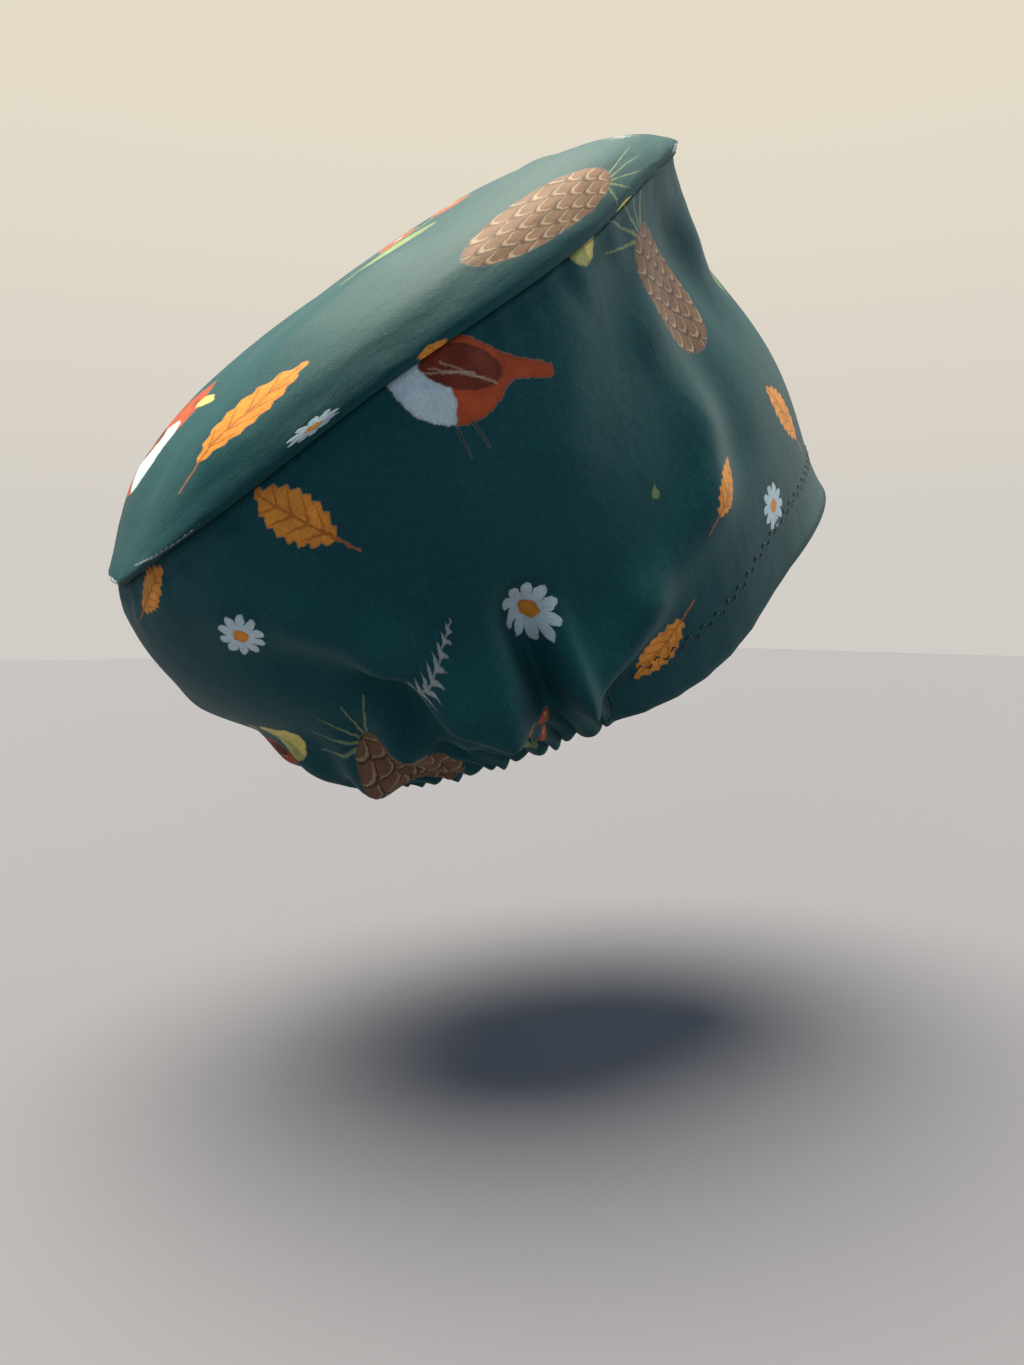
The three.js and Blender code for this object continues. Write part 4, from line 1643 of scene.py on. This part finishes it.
def cloth_place(w: Wiring) -> Socket:
    """Gives the place on the cloth in millimetres, from the cloth's UV map."""
    flat = w.node("ShaderNodeUVMap", uv_map=CLOTH_UV)
    return w.vector("MULTIPLY", flat.outputs[0], (1 / MM, 1 / MM, 0.0))


@dataclass
class SharedEffects:
    """The shader groups that more than one finish uses."""

    repeat: tuple[float, float]
    inks: PrintColours = field(default_factory=PrintColours)

    def __post_init__(self) -> None:
        """Builds each group once."""
        self.weave = weave_group()
        self.crumple = crumple_group()
        self.print = ClothPrint(self.repeat, self.inks).group


@dataclass
class Wardrobe:
    """Every finish of the cap, made once."""

    repeat: tuple[float, float]

    def __post_init__(self) -> None:
        """Makes the materials."""
        effects = SharedEffects(self.repeat)
        cotton = PrintedCotton()
        self.cotton = cotton.material("printed_cotton_face", effects)
        self.cotton_inside = cotton.material("printed_cotton_wrong_side", effects, True)
        self.elastic = WovenElastic().material("woven_elastic")
        self.thread = SewingThread().material("sewing_thread")

    def dress(
        self, piece: bpy.types.Object, slot: str, *materials: bpy.types.Material
    ) -> None:
        """Gives a piece its materials and its body.

        Args:
            piece: The piece.
            slot: Not used.
            materials: The piece's materials, outside first.
        """
        for material in materials:
            piece.data.materials.append(material)
        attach(piece, "root")
        LOG.info("%s: %d faces", piece.name, len(piece.data.polygons))


@dataclass
class SidePanel:
    """The tall wall, from its seam allowance to the fold at its foot."""

    form: CapForm
    wardrobe: Wardrobe
    front_columns: int = 280
    back_columns: int = 420
    rows: int = 62
    crowding: float = 0.48
    thickness: float = 0.7
    allowance: float = 6
    seam_gap: float = 0.2
    fold_radius: float = 0.9
    tuck_rise: float = 1.2
    tuck_lengths: tuple[float, float] = (1.0, 3.0)

    def lengths(self) -> np.ndarray:
        """Gives the columns' lengths round the cap, closer together over the gathers."""
        half, girth = self.form.front_hem_half, self.form.girth
        side = self.front_columns // 2
        return np.concatenate(
            [
                np.linspace(0, half, side, endpoint=False),
                np.linspace(half, girth - half, self.back_columns, endpoint=False),
                np.linspace(girth - half, girth, side + 1),
            ]
        )

    def rises(self) -> np.ndarray:
        """Gives the rows' heights, closer together near the hem and the seam."""
        share = np.linspace(0, 1, self.rows)
        shift = self.crowding * share * np.sin(2 * np.pi * share) / (2 * np.pi)
        return np.clip(1 - (share + shift), 0, 1)[1:]

    def build(self) -> bpy.types.Object:
        """Builds the wall and dresses it."""
        form, height = self.form, self.form.wall_height
        distance, rises = self.lengths(), self.rises()
        edge = distance[:-1]
        flap = form.seam(edge, self.allowance, -2 * self.seam_gap)
        crease = form.seam(edge, 0.0, -self.seam_gap)
        wall = form.wall(*np.meshgrid(edge, rises, indexing="ij"))
        foot = wall[:, -1]
        inward = -self.fold_radius * form.plain_normal(edge, np.zeros_like(edge))
        under = foot + inward - UP * self.fold_radius / 2
        tucked = foot + 2 * inward + UP * self.tuck_rise
        above = np.stack([flap, crease], 1)
        below = np.stack([under, tucked], 1)
        grid = np.concatenate([above, wall, below], 1)
        seam_lengths = (height + self.allowance, height)
        fold_lengths = -np.array(self.tuck_lengths)
        down = np.concatenate([seam_lengths, rises * height, fold_lengths])
        uv = np.stack(np.meshgrid(distance, down, indexing="ij"), -1)
        piece = ClothSheet(grid, uv, self.thickness, True).build("side_wall_cloth")
        self.wardrobe.dress(
            piece, "printed_cotton", self.wardrobe.cotton, self.wardrobe.cotton_inside
        )
        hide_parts("side_panel")
        return piece


@dataclass
class TopPanel:
    """The puffed oval over the head."""

    form: CapForm
    wardrobe: Wardrobe
    columns: int = 480
    rows: int = 60
    first_row: float = 0.02
    thickness: float = 0.7
    allowance: float = 6
    allowance_reach: float = 1.04
    flap_lift: float = 0.4
    cut_margin: float = 10
    print_stretch: float = 1.06
    print_start: tuple[float, float] = (60, 240)

    def build(self) -> bpy.types.Object:
        """Builds the top panel and dresses it."""
        form = self.form
        distance = np.linspace(0, form.girth, self.columns + 1)
        edge = distance[:-1]
        share = np.linspace(self.first_row, 1, self.rows)
        top = form.top(*np.meshgrid(edge, share, indexing="ij"))
        flap = form.seam(edge, self.allowance, self.flap_lift)
        grid = np.concatenate([top, flap[:, None]], 1)
        middle = form.top(np.array([0.0]), np.array([0.0]))[0]
        reach = np.append(share, self.allowance_reach)
        x, y = form.crown.flat(distance)
        flat = np.stack([np.outer(y, reach), np.outer(x, reach)], -1)
        uv = flat * self.print_stretch + self.print_start
        sheet = ClothSheet(grid, uv, self.thickness, True, middle)
        piece = sheet.build("top_oval_cloth")
        self.wardrobe.dress(
            piece, "printed_cotton", self.wardrobe.cotton, self.wardrobe.cotton_inside
        )
        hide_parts("top_panel")
        return piece


@dataclass
class TurnedUpEdge:
    """The inner layer of the hem: plain in front, an elastic's channel behind."""

    form: CapForm
    wardrobe: Wardrobe
    front_columns: int = 300
    back_columns: int = 500
    rows: int = 14
    thickness: float = 0.7
    under_cloth: float = 1.2
    elastic_room: float = 1.9
    crease_room: float = 3.6
    end_gap: float = 0.3
    foot_rise: float = 0.012
    fold_length: float = 4

    def depth(self, distance: np.ndarray) -> np.ndarray:
        """Gives how deep the layer lies inside the wall.

        Args:
            distance: Lengths round the cap.

        Returns:
            Depths in millimetres.
        """
        form = self.form
        over = form.over_elastic(distance, 2 * form.pitch)
        loose = self.crease_room * (1 - form.pucker_wave(distance))
        return self.under_cloth + over * (self.elastic_room + loose)

    def layer(
        self, name: str, start: float, end: float, columns: int, held: str
    ) -> bpy.types.Object:
        """Builds one stretch of the layer and dresses it.

        Args:
            name: The piece's name.
            start: Length round the cap where it starts.
            end: Where it ends.
            columns: Columns of faces along it.
            held: Not used.

        Returns:
            The piece.
        """
        form = self.form
        distance = np.linspace(start, end, columns + 1)
        rises = np.linspace(form.hem_rise, self.foot_rise, self.rows)
        s, r = np.meshgrid(distance, rises, indexing="ij")
        grid = form.inside(s, r, self.depth(s))
        uv = np.stack([s, -r * form.wall_height - self.fold_length], -1)
        piece = ClothSheet(grid, uv, self.thickness).build(name)
        self.wardrobe.dress(
            piece, "printed_cotton", self.wardrobe.cotton_inside, self.wardrobe.cotton
        )
        return piece

    def build(self) -> None:
        """Builds both stretches."""
        half, girth, gap = self.form.front_hem_half, self.form.girth, self.end_gap
        front = self.layer(
            "front_hem_cloth", -half + gap, half - gap, self.front_columns, "folded"
        )
        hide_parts("front_hem")
        start, end = half + gap, girth - half - gap
        back = self.layer(
            "elastic_casing_cloth", start, end, self.back_columns, "gathered"
        )
        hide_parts("elastic_casing")


@dataclass
class ElasticBand:
    """The flat elastic in the channel."""

    form: CapForm
    wardrobe: Wardrobe
    width: float = 12
    thickness: float = 1.0
    columns: int = 240
    rows: int = 8
    foot_rise: float = 0.02
    under_cloth: float = 1.3
    print_share: float = 0.65
    flat_share: float = 0.645

    def build(self) -> bpy.types.Object:
        """Builds the band and dresses it."""
        form, elastic = self.form, self.wardrobe.elastic
        start = form.front_hem_half + 2 * form.pitch
        distance = np.linspace(start, form.girth - start, self.columns + 1)
        low, high = self.foot_rise, self.foot_rise + self.width / form.wall_height
        rises = np.linspace(high, low, self.rows)
        s, r = np.meshgrid(distance, rises, indexing="ij")
        grid = form.inside(s, r, self.under_cloth)
        uv = np.stack([(s - start) * self.print_share, r * form.wall_height], -1)
        piece = ClothSheet(grid, uv, self.thickness).build("elastic_band")
        self.wardrobe.dress(piece, "elastic_band", elastic, elastic)
        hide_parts("elastic")
        return piece


@dataclass
class Stitching:
    """The zigzag topstitching of the hem and the upright tacks at the elastic's ends."""

    form: CapForm
    wardrobe: Wardrobe
    pitch: float = 2.9
    swing: float = 1.4
    stitch_steps: int = 8
    below_hem_top: float = 1.5
    radius: float = 0.24
    sides: int = 6
    proud: float = 0.12
    dip: float = 0.5
    dip_sharpness: int = 6
    tack_gap: float = 2.2
    tack_margin: float = 1
    tack_foot: float = 0.01
    tack_steps: int = 60
    tack_swing: float = 0.5
    tack_pitch: float = 1.4
    tack_dips: float = 1.4

    def tube(
        self, path: np.ndarray, out: np.ndarray
    ) -> tuple[np.ndarray, np.ndarray, np.ndarray]:
        """Makes a thin tube along a path.

        Args:
            path: Points of the path.
            out: The cloth's outward normal at each.

        Returns:
            The tube's points, its four-sided faces and its two ends, counted from 0.
        """
        along = unit(np.gradient(path, axis=0))
        side = unit(np.cross(along, out))
        raised = unit(np.cross(side, along))
        turn = np.linspace(0, 2 * np.pi, self.sides, endpoint=False)
        ring = (
            np.cos(turn)[None, :, None] * side[:, None]
            + np.sin(turn)[None, :, None] * raised[:, None]
        )
        points = (path[:, None] + self.radius * ring).reshape(-1, 3)
        corner = np.arange(self.sides)
        after = (corner + 1) % self.sides
        here = np.arange(len(path) - 1)[:, None] * self.sides
        over = here + self.sides
        faces = np.stack([here + corner, here + after, over + after, over + corner], -1)
        last = (len(path) - 1) * self.sides
        ends = np.stack([corner[::-1], last + corner])
        return points, faces.reshape(-1, 4), ends

    def stitches(
        self, distance: np.ndarray, rise: np.ndarray, along: np.ndarray
    ) -> tuple[np.ndarray, np.ndarray, np.ndarray]:
        """Lays one row of thread on the wall, dipping in where the needle goes.

        Args:
            distance: Lengths round the cap.
            rise: 0 at the hem and 1 at the crown seam.
            along: Lengths along the thread, which set where the needle goes in.

        Returns:
            The row's points, faces and ends, as a tube gives them.
        """
        base = self.form.wall(distance, rise)
        normal = self.form.plain_normal(distance, rise)
        dips = np.abs(np.cos(np.pi * along / self.pitch)) ** self.dip_sharpness
        lift = self.proud - self.dip * dips
        return self.tube(base + normal * lift[:, None], normal)

    def topstitching(self) -> tuple[np.ndarray, np.ndarray, np.ndarray]:
        """Lays the zigzag row round the front hem."""
        count = int(2 * self.form.front_hem_half / self.pitch)
        length = count * self.pitch
        along = np.linspace(0, length, count * self.stitch_steps + 1)
        zigzag = self.swing * (2 / np.pi) * np.arcsin(np.sin(np.pi * along / self.pitch))
        up = self.form.hem_depth - self.below_hem_top + zigzag
        return self.stitches(along - length / 2, up / self.form.wall_height, along)

    def tack(self, side: int, shift: float) -> tuple[np.ndarray, np.ndarray, np.ndarray]:
        """Lays one upright row where the elastic ends.

        Args:
            side: 1 on the wearer's right and -1 on the left.
            shift: How far behind the first tack it stands.

        Returns:
            The row's points, faces and ends.
        """
        form = self.form
        up = np.linspace(0, form.hem_depth - self.tack_margin, self.tack_steps + 1)
        sway = self.tack_swing * np.sin(np.pi * up / self.tack_pitch)
        place = side * (form.front_hem_half + self.tack_margin + shift) + sway
        rise = up / form.wall_height + self.tack_foot
        return self.stitches(place, rise, up * self.tack_dips)

    def build(self) -> bpy.types.Object:
        """Builds every row of thread as one piece."""
        rows = [self.topstitching()]
        for side in (1, -1):
            rows += [self.tack(side, shift) for shift in (0.0, self.tack_gap)]
        parts = MeshParts()
        start = 0
        for points, faces, ends in rows:
            flat = np.stack([points[:, 0] + points[:, 1], points[:, 2]], -1)
            parts.add(faces + start, flat[faces])
            parts.add(ends + start, flat[ends])
            start += len(points)
        piece = parts.build("hem_stitching", np.concatenate([row[0] for row in rows]))
        self.wardrobe.dress(piece, "printed_cotton", self.wardrobe.thread)
        return piece


@dataclass
class Studio:
    """A pale floor and backdrop, soft lights and the camera at the photo's angle."""

    heading: float = 32.0
    pitch: float = 3.4
    away: float = 379.0
    aside: float = 8.7
    height: float = -2.5
    turn_axis_back: float = 32.0
    focal_pixels: float = 1010.0
    image_height: float = 1365.0
    sensor_height: float = 36.0
    floor_drop: float = 150.0
    floor_reach: float = 4000.0
    floor_roughness: float = 0.8
    floor_mottling: float = 0.03
    light_width: float = 50.0
    high_window: tuple = (0.22, 0.16, 1.2)
    high_strength: float = 11.5
    front_window: tuple = (-0.25, -1.05, 0.45)
    front_strength: float = 1.7
    warm: tuple = (1.0, 0.93, 0.74)
    neutral: tuple = (1.0, 0.97, 0.86)
    floor_paint: tuple = linear(95, 95, 104)
    backdrop_low: tuple = linear(210, 205, 198)
    backdrop_high: tuple = linear(229, 220, 201)
    backdrop_rise: tuple[float, float] = (0.0, 0.5)
    fill: tuple = linear(164, 210, 250)
    fill_strength: float = 0.31

    def plain_material(self, name: str) -> bpy.types.Material:
        """Makes the floor's plain paint.

        Args:
            name: The material's name.

        Returns:
            The material.
        """
        made, w, shader = new_material(name)
        place = w.node("ShaderNodeTexCoord").outputs["Object"]
        tone = w.about_one(w.noise(place, 3.0, 3.0), self.floor_mottling)
        w.put(shader.inputs["Base Color"], w.brighten(self.floor_paint, tone))
        shader.inputs["Roughness"].default_value = self.floor_roughness
        return made

    def add_floor(self) -> None:
        """Adds the floor under the cap."""
        name = "pale_floor"
        far, low = self.floor_reach * MM, -self.floor_drop * MM
        corners = [(-far, -far, low), (far, -far, low), (far, far, low), (-far, far, low)]
        mesh = bpy.data.meshes.new(name)
        mesh.from_pydata(corners, [], [(0, 1, 2, 3)])
        mesh.materials.append(self.plain_material(name))
        place_object(name, mesh)

    def add_light(
        self, name: str, toward: tuple[float, float, float], strength: float, warmth: tuple
    ) -> None:
        """Adds a wide soft light that is alike over the whole floor.

        Args:
            name: The light's name.
            toward: The direction from the cap to the light.
            strength: Its power on a surface that faces it.
            warmth: Its colour.
        """
        light = bpy.data.lights.new(name, "SUN")
        light.angle = math.radians(self.light_width)
        light.energy = strength
        light.color = warmth
        made = place_object(name, light)
        made.location = toward
        made.rotation_mode = "QUATERNION"
        made.rotation_quaternion = Vector(toward).to_track_quat("Z", "Y")

    def add_camera(self) -> None:
        """Adds the camera where the photograph was taken from."""
        turn, dip = math.radians(self.heading), math.radians(self.pitch)
        away = Vector((math.cos(turn), -math.sin(turn), 0))
        right = Vector((-math.sin(turn), -math.cos(turn), 0))
        place = Vector((0, self.turn_axis_back, self.height))
        place = place - away * self.away - right * self.aside
        looks = away * math.cos(dip) + Vector((0, 0, -math.sin(dip)))
        camera = bpy.data.cameras.new("photo_camera")
        camera.sensor_width = self.sensor_height
        camera.lens = self.sensor_height * self.focal_pixels / self.image_height
        camera.clip_start = 10 * MM
        made = place_object("photo_camera", camera)
        made.location = place * MM
        made.rotation_mode = "QUATERNION"
        made.rotation_quaternion = looks.to_track_quat("-Z", "Y")
        bpy.context.scene.camera = made

    def add_world(self) -> None:
        """Adds a pale backdrop that gives the cap only a dim, cool fill."""
        world = bpy.data.worlds.new("soft_studio")
        world.use_nodes = True
        w = Wiring(world.node_tree)
        backdrop = world.node_tree.nodes["Background"]
        _, _, high = w.split(w.node("ShaderNodeTexCoord").outputs["Generated"])
        upward = w.step(high, *self.backdrop_rise)
        painted = w.mix(upward, self.backdrop_low, self.backdrop_high)
        w.put(backdrop.inputs["Color"], painted)
        fill = w.node("ShaderNodeBackground")
        fill.inputs["Color"].default_value = self.fill
        fill.inputs["Strength"].default_value = self.fill_strength
        seen = w.node("ShaderNodeLightPath").outputs["Is Camera Ray"]
        shown = w.node("ShaderNodeMixShader")
        w.put(shown.inputs[0], seen)
        w.put(shown.inputs[1], fill.outputs[0])
        w.put(shown.inputs[2], backdrop.outputs[0])
        w.put(world.node_tree.nodes["World Output"].inputs["Surface"], shown.outputs[0])
        bpy.context.scene.world = world

    def build(self) -> None:
        """Builds the stage, the lights and the camera."""
        bpy.context.scene.view_settings.view_transform = "Standard"
        self.add_camera()
        self.add_floor()
        self.add_light("high_window", self.high_window, self.high_strength, self.warm)
        self.add_light(
            "front_window", self.front_window, self.front_strength, self.neutral
        )
        self.add_world()


def main() -> None:
    """Builds the cap's pieces in order and stages them."""
    logging.basicConfig(level=logging.INFO, format="%(name)s: %(message)s")
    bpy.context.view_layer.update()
    Studio().build()
    form = CapForm()
    repeat = (form.girth / PRINT_REPEATS_ROUND, PRINT_REPEAT_HEIGHT)
    wardrobe = Wardrobe(repeat)
    SidePanel(form, wardrobe).build()
    TopPanel(form, wardrobe).build()
    TurnedUpEdge(form, wardrobe).build()
    ElasticBand(form, wardrobe).build()
    Stitching(form, wardrobe).build()


if __name__ == "__main__":
    main()
